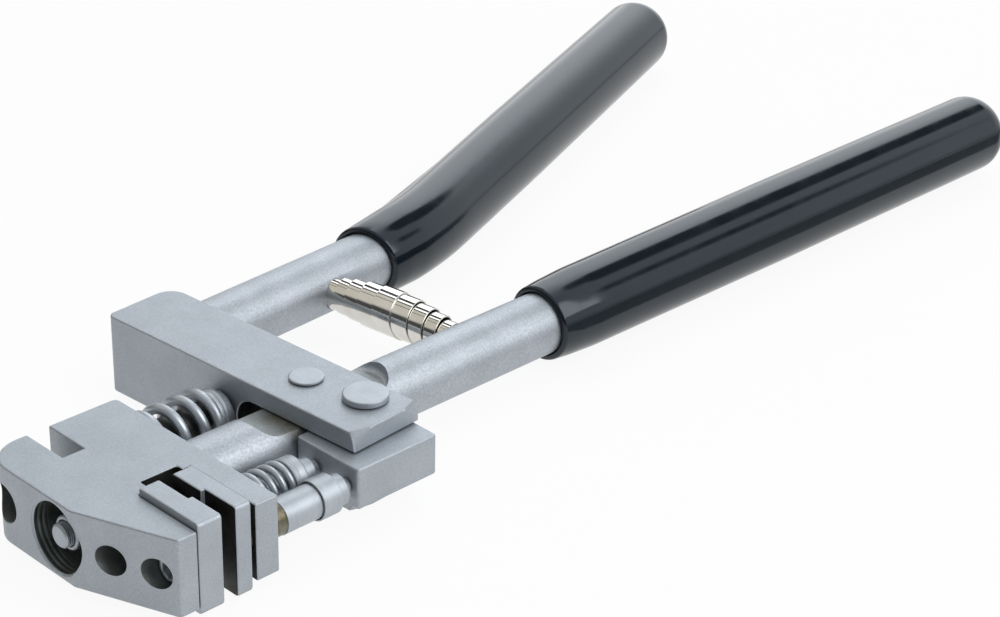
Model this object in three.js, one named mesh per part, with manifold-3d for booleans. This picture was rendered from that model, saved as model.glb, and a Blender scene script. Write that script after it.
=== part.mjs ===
// Hand pliers for sheet metal, with a punching station on the left of the head and a flanging
// station on the right. A round bar carries the head and is one handle. A forked crosshead with the
// other handle swings on a pin through that bar. A block pinned in its fork pushes the two rods of
// the moving flange die, and its left arm stands behind the punch.
// Millimetres, +Z up. The origin is the centre of the pivot pin's lower end face. +X is the
// flanging side, +Y runs back along the handles, and the head lies towards -Y.
import * as THREE from "three";
import { mergeVertices } from "three/addons/utils/BufferGeometryUtils.js";
import Module from "manifold-3d";

const wasm = await Module();
wasm.setup();

// Clearances and working values
const seatGap = 0.3; // between two pieces that touch
const cutOver = 1; // how far a cut runs past the surface it starts from
const weld = 1e-4; // points closer than this are one point
const edgeBreak = 0.5; // chamfer on the edges of milled blocks
const roundSides = 32; // facets round a turned piece
const cornerSteps = 6; // facets along a rounded corner

// Round stock: the through bar that holds the head, and the bar of the swinging handle
const barDiameter = 16;
const barOffset = 3.3; // from the pivot pin to the axis of the through bar, to the right
const barEndBreak = 0.8; // chamfer at the ends and shoulders of bars and rods
const spigotDiameter = 10; // turned end of each bar, inside the block that holds it

// Head block. Its places across are measured from the axis of the through bar.
const headThickness = 19.2;
const headLength = 36.2;
const headSetback = 36.9; // from the pivot pin forward to the head's rear face
const headLeft = 26.3;
const headRight = 30.6;
const headFrontRound = 9; // rounded front left corner
const headRearRound = 1.5;
const facetStart = 6; // where the front face starts to slope back
const facetDrop = 9.4; // how far it has sloped back at the right end
const neckSeatDepth = 3; // the bar's full diameter enters the rear face this deep
const mouthDiameter = 16.8; // open bore in the front face
const mouthDepth = 12;

// Punching station
const punchNotchWidth = 5.7;
const punchNotchWall = 11.9; // from the front face to the notch
const punchNotchEnd = 13; // from the bar's axis out to the closed end of the notch
const punchOffset = 19.2; // from the bar's axis to the punch
const punchDiameter = 5;
const punchShank = 8.2;
const punchTipLength = 15;
const punchTipInset = 0.3; // the punch waits this far inside the notch's rear wall
const punchStroke = 6.6;
const punchFlange = 10.4;
const punchFlangeThickness = 1.6;
const punchCollarDiameter = 12.6;
const punchCollarLength = 2.6;
const bushDiameter = 8.7;
const bushLength = 5.2;
const punchPlay = 0.15; // between the punch and the die bush, on each side

// Flanging station. The dies stand taller than the head, above and below it.
const dieNotchInner = 6.5;
const dieNotchWall = 18.1; // from the front face to the notch
const dieNotchRearWall = 8.3; // from the rear face to the notch
const dieLeft = 10.8;
const dieWidth = 19.9;
const dieHeight = 22.5;
const dieBreak = 0.9; // chamfer round the outer edges of the dies
const dieSeatWall = 14.5; // from the front face to the floor of the fixed die's pocket
const fixedDieDepth = 5.1;
const movingDieDepth = 5.2;
const dieOpenGap = 3.6;
const jogStep = 1.1; // offset that the dies press into the sheet's edge
const jogPlace = 9.4; // from the dies' left edge to the step
const jogRise = 0.7; // width over which the step rises
const dieGuideWall = 6.2; // from the rear face to the floor of the moving die's pocket
const dieGuidePlay = 2.4; // between the moving die's left edge and its pocket
const dieScrewBore = 7.3;
const dieScrewHead = 6.6;
const dieScrewLength = 3.1;
const dieScrewShank = 4;
const dieScrewReach = 2.6; // how far a die screw enters the fixed die
const socketWidth = 3; // across the flats of the screws' sockets
const socketSides = 6;
const socketDepth = 1.4;

// Rods behind the moving die, across from the bar's axis
const springRodOffset = 15;
const guideRodOffset = 25.5;
const springRodDiameter = 6;
const guideRodDiameter = 8;
const guideShoulderDiameter = 8.3;
const guideShoulderSetback = 3.6; // from the head's rear face back to the rod's shoulder
const rodSpigot = 4; // front ends of both rods, inside the moving die
const springRodReach = 4.2;
const guideRodReach = 2.6;
const sleeveDiameter = 10.4;
const sleeveLength = 3.6;
const sleeveGap = 0.4; // groove between the sleeve and the rod's cap
const ribPitch = 0.8; // ribs on the front half of the sleeve
const ribCount = 2;
const ribDepth = 0.25;
const capDiameter = 6.8;
const capLength = 3.4;
const rodTipDiameter = 4; // rear ends of both rods, which meet the pusher block
const rodTipLength = 1.9;
const guideCollarDiameter = 9.6;
const guideCollarLength = 5.2;
const guideCapDiameter = 7.6;
const guideCapLength = 3;

// Crosshead. Its places are measured from the pivot pin, in its own turned frame.
const restAngle = THREE.MathUtils.degToRad(3.75); // how far the crosshead stands open at rest
const yokeHeight = 20.5;
const yokeLeft = 57.5;
const yokeRight = 26.3;
const yokeFront = 10.8;
const yokeRear = 9.9;
const yokeRearRound = 5;
const yokeFrontRound = 2;
const slotHeight = 10.9;
const slotReach = 12.2; // from the pivot pin left to the slot's round end
const leverBarInset = 10; // from the left end to the axis of the swinging bar
const taperTopRadius = 26.5; // turned taper on the corners of both ears, at their outer faces
const taperSlotRadius = 28.4; // the same taper at the slot

// Pins
const pivotShank = 5;
const pivotHeadDiameter = 8.3;
const pivotHeadHeight = 0.55;
const blockPinShank = 6;
const blockPinHeadDiameter = 10.8;
const blockPinHeadHeight = 1.4;
const pinHeadBreak = 0.35;
const blockPinRight = 16.5; // from the pivot pin, in the crosshead's frame
const blockPinBack = 2.7;

// Pusher block, across from the bar's axis
const blockSideGap = 0.4; // between the bar and the block
const blockWidth = 20.8;
const blockFront = 13;
const blockRear = 10.8;
const blockPlay = 0.3; // between the block or the bar's flats and each ear
const blockBreak = 0.7;

// Flats that thin the through bar inside the fork
const flatRadius = 20.5;
const flatSetback = 2.5; // centre of the round flats, behind the pivot pin

// Swinging handle, in the crosshead's frame
const leverSpigotLength = 12;
const bendPlace = 83.3; // from the pivot pin back to where the two straight runs would meet
const bendRadius = 125;
const bendAngle = THREE.MathUtils.degToRad(18.25);
const bendSteps = 8;

// Handle grips
const rightGripLength = 189;
const rightGripStart = 73; // from the pivot pin back
const leftGripLength = 195.4;
const leftGripStart = 67.2;
const gripMouthDiameter = 21.2;
const gripDiameter = 22.4;
const gripTaperLength = 90; // over which the grip swells from its mouth
const gripLip = 0.9; // rounding of the mouth
const gripEndRound = 8.5;
const gripEndWall = 3.2;

// Screw and sleeve seen in the open bore of the front face
const neckScrewDiameter = 5.8;
const neckScrewInset = 3; // behind the front face
const neckScrewReach = 6; // inside the bar's spigot
const neckSleeveDiameter = 8.2;
const neckSleeveInset = 4;

// Wound springs
const coilSteps = 8; // rings of the wire in each turn
const wireSides = 5;
const punchSpringDiameter = 15.4;
const punchSpringWire = 2.6;
const punchSpringTurns = 2.4; // open turns
const punchSpringLag = 0.33; // of a turn from its first end to the top
const flangeSpringDiameter = 11;
const flangeSpringWire = 1.6;
const flangeSpringTurns = 3.8;
const flangeSpringLag = 0.67;
const closedTurns = 0.5; // of a turn closed at each end
const closedGap = 0.6; // between the wires of a closed turn
const leastSpringGap = 0.4;
const apartShare = 0.7; // of a turn: sections at least this far apart are measured

// Volute spring between the handles: a flat strip wound in turns that grow to the middle
const voluteRightPlace = 52; // its seat in the through bar, behind the pivot pin
const voluteLeftPlace = 49.2; // its seat in the swinging bar, in the crosshead's frame
const voluteSocketDiameter = 9.6;
const voluteSocketDepth = 2.6;
const voluteEndDiameter = 8;
const voluteMiddleDiameter = 12;
const voluteStrip = 0.7; // thickness of the strip
const voluteTurns = 9;
const voluteTurnGap = 0.55; // between the edges of neighbouring turns
const volutePitchShare = 0.2; // how much longer than the mean the turns in the middle are
const voluteTaperShare = 1.5; // exponent of the swell towards the middle
const voluteSteps = 14; // sections of the strip in each turn

// Places worked out from the sizes above
const barRadius = barDiameter / 2;
const headFrontY = -(headSetback + headLength);
const headRearY = -headSetback;
const mouthFloorY = headFrontY + mouthDepth;
const dieSeatY = headFrontY + dieSeatWall;
const fixedDieRearY = dieSeatY + seatGap;
const fixedDieFaceY = fixedDieRearY + fixedDieDepth;
const movingDieFaceY = fixedDieFaceY + dieOpenGap;
const movingDieRearY = movingDieFaceY + movingDieDepth;
const punchNotchFrontY = headFrontY + punchNotchWall;
const punchNotchRearY = punchNotchFrontY + punchNotchWidth;
const leverBarX = leverBarInset - yokeLeft;
const flatHalf = slotHeight / 2 - blockPlay;
const blockLeft = barRadius + blockSideGap;
const blockFrontY = -blockFront;
const rodEndY = blockFrontY - seatGap;
const capRearY = rodEndY - rodTipLength;
const sleeveRearY = capRearY - capLength - sleeveGap;
const sleeveFrontY = sleeveRearY - sleeveLength;
const guideCollarRearY = capRearY - guideCapLength;
const guideCollarFrontY = guideCollarRearY - guideCollarLength;
const gripBoreRadius = barRadius + seatGap;

// Finishes
function finish(color, roughness, metalness) {
  return new THREE.MeshStandardMaterial({ color, roughness, metalness });
}
const satinPlate = finish("#aab2ba", 0.45, 0.9);
const turnedPlate = finish("#b4bbc2", 0.35, 0.9);
const toolSteel = finish("#8f979f", 0.4, 0.9);
const springSteel = finish("#a3a9ad", 0.3, 0.95);
const polishedStrip = finish("#c9c4b6", 0.2, 1);
const blackVinyl = finish("#20262b", 0.35, 0);

// A closed geometry as a solid that can be joined and cut
function solidFrom(geometry) {
  const bare = geometry.clone();
  bare.deleteAttribute("normal");
  bare.deleteAttribute("uv");
  const merged = mergeVertices(bare, weld);
  const vertProperties = merged.attributes.position.array;
  const triVerts = new Uint32Array(merged.index.array);
  return new wasm.Manifold(new wasm.Mesh({ numProp: 3, vertProperties, triVerts }));
}

function geometryFrom(solid) {
  const mesh = solid.getMesh();
  const shared = new THREE.BufferGeometry();
  shared.setAttribute("position", new THREE.BufferAttribute(mesh.vertProperties, 3));
  shared.setIndex(new THREE.BufferAttribute(mesh.triVerts, 1));
  const geometry = shared.toNonIndexed();
  geometry.computeVertexNormals();
  return geometry;
}

function cut(geometry, ...tools) {
  const left = tools.reduce((solid, tool) => solid.subtract(solidFrom(tool)), solidFrom(geometry));
  return geometryFrom(left);
}

function join(geometry, ...others) {
  const all = others.reduce((solid, other) => solid.add(solidFrom(other)), solidFrom(geometry));
  return geometryFrom(all);
}

// A plate with the given outline, from low to high along Z, with its rims chamfered
function plate(outline, low, high, rim) {
  const geometry = new THREE.ExtrudeGeometry(outline, {
    depth: high - low - 2 * rim,
    bevelEnabled: rim > 0,
    bevelThickness: rim,
    bevelSize: rim,
    bevelOffset: -rim,
    bevelSegments: 1,
    curveSegments: cornerSteps,
  });
  return geometry.translate(0, 0, low + rim);
}

function block(left, right, front, rear, low, high) {
  const box = new THREE.BoxGeometry(right - left, rear - front, high - low);
  return box.translate((left + right) / 2, (front + rear) / 2, (low + high) / 2);
}

// A turned piece about the Y axis: the profile lists [radius, y] with rising y
function turned(profile, sides = roundSides) {
  const points = profile.map(([radius, y]) => new THREE.Vector2(radius, y));
  return new THREE.LatheGeometry(points, sides);
}

function rodAlongY(radius, front, rear, sides = roundSides) {
  return turned([[0, front], [radius, front], [radius, rear], [0, rear]], sides);
}

function ringAlongY(inner, outer, front, rear, rim) {
  return turned([
    [inner, front],
    [outer - rim, front],
    [outer, front + rim],
    [outer, rear - rim],
    [outer - rim, rear],
    [inner, rear],
    [inner, front],
  ]);
}

function rodAlongZ(radius, low, high) {
  return rodAlongY(radius, low, high).rotateX(Math.PI / 2);
}

// A closed skin over rings of points, which run round the way from start to end
function loft(rings, start, end) {
  const sides = rings[0].length;
  const points = [start, ...rings.flat(), end];
  const last = points.length - 1;
  const at = (ring, side) => 1 + ring * sides + (side % sides);
  const indices = [];
  for (let side = 0; side < sides; side++) {
    indices.push(0, at(0, side + 1), at(0, side));
    for (let ring = 0; ring + 1 < rings.length; ring++) {
      indices.push(at(ring, side), at(ring, side + 1), at(ring + 1, side + 1));
      indices.push(at(ring, side), at(ring + 1, side + 1), at(ring + 1, side));
    }
    indices.push(last, at(rings.length - 1, side), at(rings.length - 1, side + 1));
  }
  const geometry = new THREE.BufferGeometry().setFromPoints(points);
  geometry.setIndex(indices);
  return geometry;
}

// Head block: its outline with both notches, the rounded corner and the sloping facet
function headOutline() {
  const pocketLeft = dieLeft - seatGap;
  const guideLeft = dieLeft - dieGuidePlay;
  const notchFrontY = headFrontY + dieNotchWall;
  const notchRearY = headRearY - dieNotchRearWall;
  const guideFloorY = headRearY - dieGuideWall;
  const outline = new THREE.Shape();
  outline.moveTo(headFrontRound - headLeft, headFrontY);
  outline.lineTo(facetStart, headFrontY);
  outline.lineTo(headRight, headFrontY + facetDrop);
  outline.lineTo(headRight, dieSeatY);
  outline.lineTo(pocketLeft, dieSeatY);
  outline.lineTo(pocketLeft, notchFrontY);
  outline.lineTo(dieNotchInner, notchFrontY);
  outline.lineTo(dieNotchInner, notchRearY);
  outline.lineTo(guideLeft, notchRearY);
  outline.lineTo(guideLeft, guideFloorY);
  outline.lineTo(headRight, guideFloorY);
  outline.lineTo(headRight, headRearY);
  outline.absarc(headRearRound - headLeft, headRearY - headRearRound, headRearRound,
    Math.PI / 2, Math.PI, false);
  outline.lineTo(-headLeft, punchNotchRearY);
  outline.lineTo(-punchNotchEnd, punchNotchRearY);
  outline.lineTo(-punchNotchEnd, punchNotchFrontY);
  outline.lineTo(-headLeft, punchNotchFrontY);
  outline.absarc(headFrontRound - headLeft, headFrontY + headFrontRound, headFrontRound,
    Math.PI, 1.5 * Math.PI, false);
  return outline;
}

// Bores of the punching side: the shank's guide, the punch's own bore and the die bush's seat
function punchBores() {
  const shankRadius = punchShank / 2 + seatGap;
  const shoulderY = punchNotchRearY + punchTipInset + punchTipLength;
  const guide = rodAlongY(shankRadius, shoulderY - punchStroke - seatGap, headRearY + cutOver);
  const tip = rodAlongY(punchDiameter / 2 + seatGap, punchNotchRearY - cutOver, headRearY);
  const exit = rodAlongY(bushDiameter / 2 + seatGap, headFrontY - cutOver,
    punchNotchFrontY + cutOver);
  return [guide, tip, exit].map((tool) => tool.translate(-punchOffset, 0, 0));
}

// Bores of the flanging side: two in the front wall for the die screws, two behind for the rods
function flangeBores() {
  const screwRadius = dieScrewBore / 2;
  const front = [springRodOffset, guideRodOffset].map((across) =>
    rodAlongY(screwRadius, headFrontY - cutOver, dieSeatY + cutOver).translate(across, 0, 0));
  const guideFrontY = headRearY - dieGuideWall - cutOver;
  const rodRadius = springRodDiameter / 2 + seatGap;
  const guideRadius = guideRodDiameter / 2 + seatGap;
  const springRodBore = rodAlongY(rodRadius, guideFrontY, headRearY + cutOver);
  const guideRodBore = rodAlongY(guideRadius, guideFrontY, headRearY + cutOver);
  springRodBore.translate(springRodOffset, 0, 0);
  guideRodBore.translate(guideRodOffset, 0, 0);
  return [...front, springRodBore, guideRodBore];
}

function headBlock() {
  const half = headThickness / 2;
  const body = plate(headOutline(), -half, half, edgeBreak);
  const seat = rodAlongY(barRadius + seatGap, headRearY - neckSeatDepth, headRearY + cutOver);
  const spigot = rodAlongY(spigotDiameter / 2 + seatGap, mouthFloorY - cutOver, headRearY);
  const mouth = rodAlongY(mouthDiameter / 2, headFrontY - cutOver, mouthFloorY);
  return cut(body, seat, spigot, mouth, ...punchBores(), ...flangeBores());
}

// Through bar: turned spigot, full round stock, round flats in the fork, pin hole and spring seat
function mainBar() {
  const shoulderY = headRearY - neckSeatDepth + seatGap;
  const endY = rightGripStart + rightGripLength - gripEndWall - seatGap;
  const spigotRadius = spigotDiameter / 2;
  const stock = turned([
    [0, mouthFloorY],
    [spigotRadius, mouthFloorY],
    [spigotRadius, shoulderY],
    [barRadius, shoulderY],
    [barRadius, endY - barEndBreak],
    [barRadius - barEndBreak, endY],
    [0, endY],
  ]);
  const flats = [
    rodAlongZ(flatRadius, flatHalf, barRadius + cutOver),
    rodAlongZ(flatRadius, -barRadius - cutOver, -flatHalf),
  ].map((tool) => tool.translate(-barOffset, flatSetback, 0));
  const pinHole = rodAlongZ(pivotShank / 2 + seatGap, -barRadius, barRadius);
  pinHole.translate(-barOffset, 0, 0);
  const screwHole = rodAlongY(neckScrewDiameter / 2 + seatGap, mouthFloorY - cutOver,
    mouthFloorY + neckScrewReach + seatGap);
  return cut(stock, ...flats, pinHole, screwHole, voluteSocket(voluteSeats().right, Math.PI));
}

function neckScrew() {
  const radius = neckScrewDiameter / 2;
  const frontY = headFrontY + neckScrewInset;
  return turned([
    [0, frontY],
    [radius - pinHeadBreak, frontY],
    [radius, frontY + pinHeadBreak],
    [radius, mouthFloorY + neckScrewReach],
    [0, mouthFloorY + neckScrewReach],
  ]);
}

function neckSleeve() {
  return ringAlongY(neckScrewDiameter / 2 + seatGap, neckSleeveDiameter / 2,
    headFrontY + neckSleeveInset, mouthFloorY - seatGap, pinHeadBreak);
}

// A die's outline seen from above: its back is straight and its face has the step of the flange
function dieOutline(backY, faceY, stepY) {
  const right = dieLeft + dieWidth;
  const step = dieLeft + jogPlace;
  const outline = new THREE.Shape();
  outline.moveTo(dieLeft, backY);
  outline.lineTo(right, backY);
  outline.lineTo(right, stepY);
  outline.lineTo(step + jogRise, stepY);
  outline.lineTo(step, faceY);
  outline.lineTo(dieLeft, faceY);
  outline.closePath();
  return outline;
}

function fixedFlangeDie() {
  const half = dieHeight / 2;
  const outline = dieOutline(fixedDieRearY, fixedDieFaceY, fixedDieFaceY + jogStep);
  const holes = [springRodOffset, guideRodOffset].map((across) =>
    rodAlongY(dieScrewShank / 2 + seatGap, fixedDieRearY - cutOver,
      fixedDieRearY + dieScrewReach + seatGap).translate(across, 0, 0));
  return cut(plate(outline, -half, half, dieBreak), ...holes);
}

// The moving die is drilled through for the spring rod and part way for the guide rod
function movingFlangeDie() {
  const half = dieHeight / 2;
  const outline = dieOutline(movingDieRearY, movingDieFaceY, movingDieFaceY + jogStep);
  const holeRadius = rodSpigot / 2 + seatGap;
  const through = rodAlongY(holeRadius, movingDieFaceY - cutOver, movingDieRearY + cutOver);
  const blind = rodAlongY(holeRadius, movingDieRearY - guideRodReach - seatGap,
    movingDieRearY + cutOver);
  through.translate(springRodOffset, 0, 0);
  blind.translate(guideRodOffset, 0, 0);
  return cut(plate(outline, -half, half, dieBreak), through, blind);
}

// Socket screw that holds the fixed die through the front wall
function dieScrew() {
  const headRadius = dieScrewHead / 2;
  const headRearPlace = fixedDieRearY - seatGap;
  const headFrontPlace = headRearPlace - dieScrewLength;
  const screw = turned([
    [0, headFrontPlace],
    [headRadius - pinHeadBreak, headFrontPlace],
    [headRadius, headFrontPlace + pinHeadBreak],
    [headRadius, headRearPlace],
    [dieScrewShank / 2, headRearPlace],
    [dieScrewShank / 2, fixedDieRearY + dieScrewReach],
    [0, fixedDieRearY + dieScrewReach],
  ]);
  const hexagon = rodAlongY(socketWidth / Math.sqrt(3), headFrontPlace - cutOver,
    headFrontPlace + socketDepth, socketSides);
  return cut(screw, hexagon);
}

function punchDieBush() {
  return ringAlongY(punchDiameter / 2 + punchPlay, bushDiameter / 2,
    punchNotchFrontY - bushLength, punchNotchFrontY, pinHeadBreak);
}

// The crosshead's front face runs aslant at rest: its place at a distance from the bar's axis
function yokeFaceY(across) {
  return (Math.sin(restAngle) * (across + barOffset) - yokeFront) / Math.cos(restAngle);
}

// Punch plunger: punch, guided shank and the flange that the crosshead's arm stands behind
function punchPlunger() {
  const tipY = punchNotchRearY + punchTipInset;
  const shoulderY = tipY + punchTipLength;
  const endY = punchEndY();
  const flangeY = endY - punchFlangeThickness;
  const shankRadius = punchShank / 2;
  const flangeRadius = punchFlange / 2;
  return turned([
    [0, tipY],
    [punchDiameter / 2, tipY],
    [punchDiameter / 2, shoulderY],
    [shankRadius, shoulderY],
    [shankRadius, flangeY],
    [flangeRadius, flangeY],
    [flangeRadius, endY - pinHeadBreak],
    [flangeRadius - pinHeadBreak, endY],
    [0, endY],
  ]);
}

function punchEndY() {
  return yokeFaceY(-punchOffset - punchFlange / 2) - seatGap;
}

function punchCollarFrontY() {
  return punchEndY() - punchFlangeThickness - seatGap - punchCollarLength;
}

function punchCollar() {
  const front = punchCollarFrontY();
  return ringAlongY(punchShank / 2 + seatGap, punchCollarDiameter / 2, front,
    front + punchCollarLength, pinHeadBreak);
}

// Rear end of a rod's profile: the thin tip behind its cap
function rodTip() {
  const radius = rodTipDiameter / 2;
  return [[radius, capRearY], [radius, rodEndY], [0, rodEndY]];
}

// Spring rod of the moving die, with its cap and the tip that the pusher block meets
function flangePlunger() {
  const rodRadius = springRodDiameter / 2;
  const capRadius = capDiameter / 2;
  const shoulderY = movingDieRearY + seatGap;
  return turned([
    [0, movingDieRearY - springRodReach],
    [rodSpigot / 2, movingDieRearY - springRodReach],
    [rodSpigot / 2, shoulderY],
    [rodRadius, shoulderY],
    [rodRadius, capRearY - capLength],
    [capRadius, capRearY - capLength],
    [capRadius, capRearY - barEndBreak],
    [capRadius - barEndBreak, capRearY],
    ...rodTip(),
  ]);
}

// Sleeve on the spring rod: fine ribs on its front half, smooth behind
function plungerSleeve() {
  const outer = sleeveDiameter / 2;
  const inner = springRodDiameter / 2 + seatGap;
  const profile = [[inner, sleeveFrontY]];
  for (let rib = 0; rib < ribCount; rib++) {
    const place = sleeveFrontY + rib * ribPitch;
    profile.push([outer - ribDepth, place]);
    profile.push([outer, place + ribPitch / 2]);
  }
  profile.push([outer - ribDepth, sleeveFrontY + ribCount * ribPitch]);
  profile.push([outer, sleeveFrontY + ribCount * ribPitch + ribPitch / 2]);
  profile.push([outer, sleeveRearY - barEndBreak]);
  profile.push([outer - barEndBreak, sleeveRearY]);
  profile.push([inner, sleeveRearY]);
  profile.push([inner, sleeveFrontY]);
  return turned(profile);
}

// Guide rod of the moving die: ground where it slides, thicker behind its shoulder
function guideRod() {
  const ground = guideRodDiameter / 2;
  const thick = guideShoulderDiameter / 2;
  const cap = guideCapDiameter / 2;
  const frontY = movingDieRearY + seatGap;
  const shoulderY = headRearY + guideShoulderSetback;
  return turned([
    [0, movingDieRearY - guideRodReach],
    [rodSpigot / 2, movingDieRearY - guideRodReach],
    [rodSpigot / 2, frontY],
    [ground, frontY],
    [ground, shoulderY],
    [thick, shoulderY],
    [thick, guideCollarRearY + seatGap],
    [cap, guideCollarRearY + seatGap],
    [cap, capRearY - barEndBreak],
    [cap - barEndBreak, capRearY],
    ...rodTip(),
  ]);
}

function guideCollar() {
  return ringAlongY(guideShoulderDiameter / 2 + seatGap, guideCollarDiameter / 2,
    guideCollarFrontY, guideCollarRearY, pinHeadBreak);
}

// Crosshead outline seen from above
function yokeOutline() {
  const outline = new THREE.Shape();
  outline.moveTo(yokeFrontRound - yokeLeft, -yokeFront);
  outline.lineTo(yokeRight, -yokeFront);
  outline.lineTo(yokeRight, yokeRear);
  outline.absarc(yokeRearRound - yokeLeft, yokeRear - yokeRearRound, yokeRearRound,
    Math.PI / 2, Math.PI, false);
  outline.absarc(yokeFrontRound - yokeLeft, yokeFrontRound - yokeFront, yokeFrontRound,
    Math.PI, 1.5 * Math.PI, false);
  return outline;
}

// The fork's slot: open at the right, round at the left, right through from front to rear
function forkSlot() {
  const half = slotHeight / 2;
  const openEnd = yokeRight + cutOver;
  const opening = block(half - slotReach, openEnd, -yokeFront - cutOver, yokeRear + cutOver,
    -half, half);
  const roundEnd = rodAlongY(half, -yokeFront - cutOver, yokeRear + cutOver);
  return join(opening, roundEnd.translate(half - slotReach, 0, 0));
}

// What the turned taper takes off the corners of the ears, on the right of the pivot only
function earTaper() {
  const half = yokeHeight / 2;
  const slotHalf = slotHeight / 2;
  const outer = yokeRight + yokeFront;
  const slope = (taperSlotRadius - taperTopRadius) / (half - slotHalf);
  const overTop = taperTopRadius - slope * cutOver;
  const kept = turned([
    [0, -half - cutOver],
    [overTop, -half - cutOver],
    [taperSlotRadius, -slotHalf],
    [taperSlotRadius, slotHalf],
    [overTop, half + cutOver],
    [0, half + cutOver],
  ], 2 * roundSides).rotateX(Math.PI / 2);
  return cut(block(0, outer, -outer, outer, -half, half), kept);
}

function crosshead() {
  const half = yokeHeight / 2;
  const body = plate(yokeOutline(), -half, half, edgeBreak);
  const pivotHole = rodAlongZ(pivotShank / 2 + seatGap, -yokeHeight, yokeHeight);
  const blockHole = rodAlongZ(blockPinShank / 2 + seatGap, -yokeHeight, yokeHeight);
  blockHole.translate(blockPinRight, blockPinBack, 0);
  const spigotHole = rodAlongY(spigotDiameter / 2 + seatGap,
    yokeRear - leverSpigotLength - seatGap, yokeRear + cutOver);
  spigotHole.translate(leverBarX, 0, 0);
  return cut(body, forkSlot(), earTaper(), pivotHole, blockHole, spigotHole);
}

// A headed pin through both ears, riveted at both ends
function headedPin(shankRadius, headRadius, headHeight) {
  const under = yokeHeight / 2 + seatGap;
  const top = under + headHeight;
  return turned([
    [0, -top],
    [headRadius - pinHeadBreak, -top],
    [headRadius, pinHeadBreak - top],
    [headRadius, -under],
    [shankRadius, -under],
    [shankRadius, under],
    [headRadius, under],
    [headRadius, top - pinHeadBreak],
    [headRadius - pinHeadBreak, top],
    [0, top],
  ]).rotateX(Math.PI / 2);
}

// Where the block's pin stands at rest, across from the bar's axis and behind the pivot pin
function blockPinAtRest() {
  const place = new THREE.Vector2(blockPinRight, blockPinBack);
  place.rotateAround(new THREE.Vector2(), restAngle);
  return place.sub(new THREE.Vector2(barOffset, 0));
}

function pusherBlock() {
  const right = blockLeft + blockWidth;
  const outline = new THREE.Shape();
  outline.moveTo(blockLeft + blockBreak, blockFrontY);
  outline.lineTo(right - blockBreak, blockFrontY);
  outline.lineTo(right, blockFrontY + blockBreak);
  outline.lineTo(right, blockRear - blockBreak);
  outline.lineTo(right - blockBreak, blockRear);
  outline.lineTo(blockLeft + blockBreak, blockRear);
  outline.lineTo(blockLeft, blockRear - blockBreak);
  outline.lineTo(blockLeft, blockFrontY + blockBreak);
  outline.closePath();
  const pin = blockPinAtRest();
  const hole = rodAlongZ(blockPinShank / 2 + seatGap, -slotHeight, slotHeight);
  return cut(plate(outline, -flatHalf, flatHalf, blockBreak), hole.translate(pin.x, pin.y, 0));
}

// Centre line of the swinging handle: straight, one bend outward, straight again.
// The distance along it starts level with the pivot pin.
function leverLine(distance) {
  const tangentLength = bendRadius * Math.tan(bendAngle / 2);
  const bendStart = bendPlace - tangentLength;
  const turn = THREE.MathUtils.clamp((distance - bendStart) / bendRadius, 0, bendAngle);
  const before = Math.min(distance, bendStart);
  const beyond = Math.max(0, distance - bendStart - bendRadius * bendAngle);
  const direction = new THREE.Vector3(-Math.sin(turn), Math.cos(turn), 0);
  const point = new THREE.Vector3(
    leverBarX - bendRadius * (1 - Math.cos(turn)),
    before + bendRadius * Math.sin(turn),
    0,
  );
  return { point: point.addScaledVector(direction, beyond), direction };
}

// Distances along the handle where the bend needs a section
function bendSections() {
  const bendStart = bendPlace - bendRadius * Math.tan(bendAngle / 2);
  const stride = (bendRadius * bendAngle) / bendSteps;
  return Array.from({ length: bendSteps + 1 }, (_, step) => bendStart + step * stride);
}

// A turned profile of [radius, distance] carried along the swinging handle's centre line
function turnedAlongLever(profile) {
  const stations = [];
  profile.forEach(([radius, distance], index) => {
    if (index > 0) {
      const [lastRadius, lastDistance] = profile[index - 1];
      const span = distance - lastDistance;
      const between = bendSections().filter((place) => (place - lastDistance) * (place - distance) < 0);
      const inOrder = span < 0 ? between.reverse() : between;
      for (const place of inOrder) {
        const share = (place - lastDistance) / span;
        stations.push([lastRadius + share * (radius - lastRadius), place]);
      }
    }
    stations.push([radius, distance]);
  });
  const rings = stations.slice(1, -1).map(([radius, distance]) => leverRing(radius, distance));
  const ends = [stations[0], stations[stations.length - 1]];
  const [start, end] = ends.map(([, distance]) => leverLine(distance).point);
  return loft(rings, start, end);
}

function leverRing(radius, distance) {
  const { point, direction } = leverLine(distance);
  const aside = new THREE.Vector3(-direction.y, direction.x, 0);
  const ring = [];
  for (let side = 0; side < roundSides; side++) {
    const angle = (2 * Math.PI * side) / roundSides;
    const place = point.clone().addScaledVector(aside, radius * Math.cos(angle));
    ring.push(place.setZ(radius * Math.sin(angle)));
  }
  return ring;
}

function leftBar() {
  const spigotRadius = spigotDiameter / 2;
  const shoulder = yokeRear + seatGap;
  const end = leftGripStart + leftGripLength - gripEndWall - seatGap;
  const stock = turnedAlongLever([
    [0, yokeRear - leverSpigotLength],
    [spigotRadius, yokeRear - leverSpigotLength],
    [spigotRadius, shoulder],
    [barRadius - barEndBreak, shoulder],
    [barRadius, shoulder + barEndBreak],
    [barRadius, end - barEndBreak],
    [barRadius - barEndBreak, end],
    [0, end],
  ]);
  return cut(stock, toLeverFrame(voluteSocket(voluteSeats().left, 0)));
}

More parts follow.
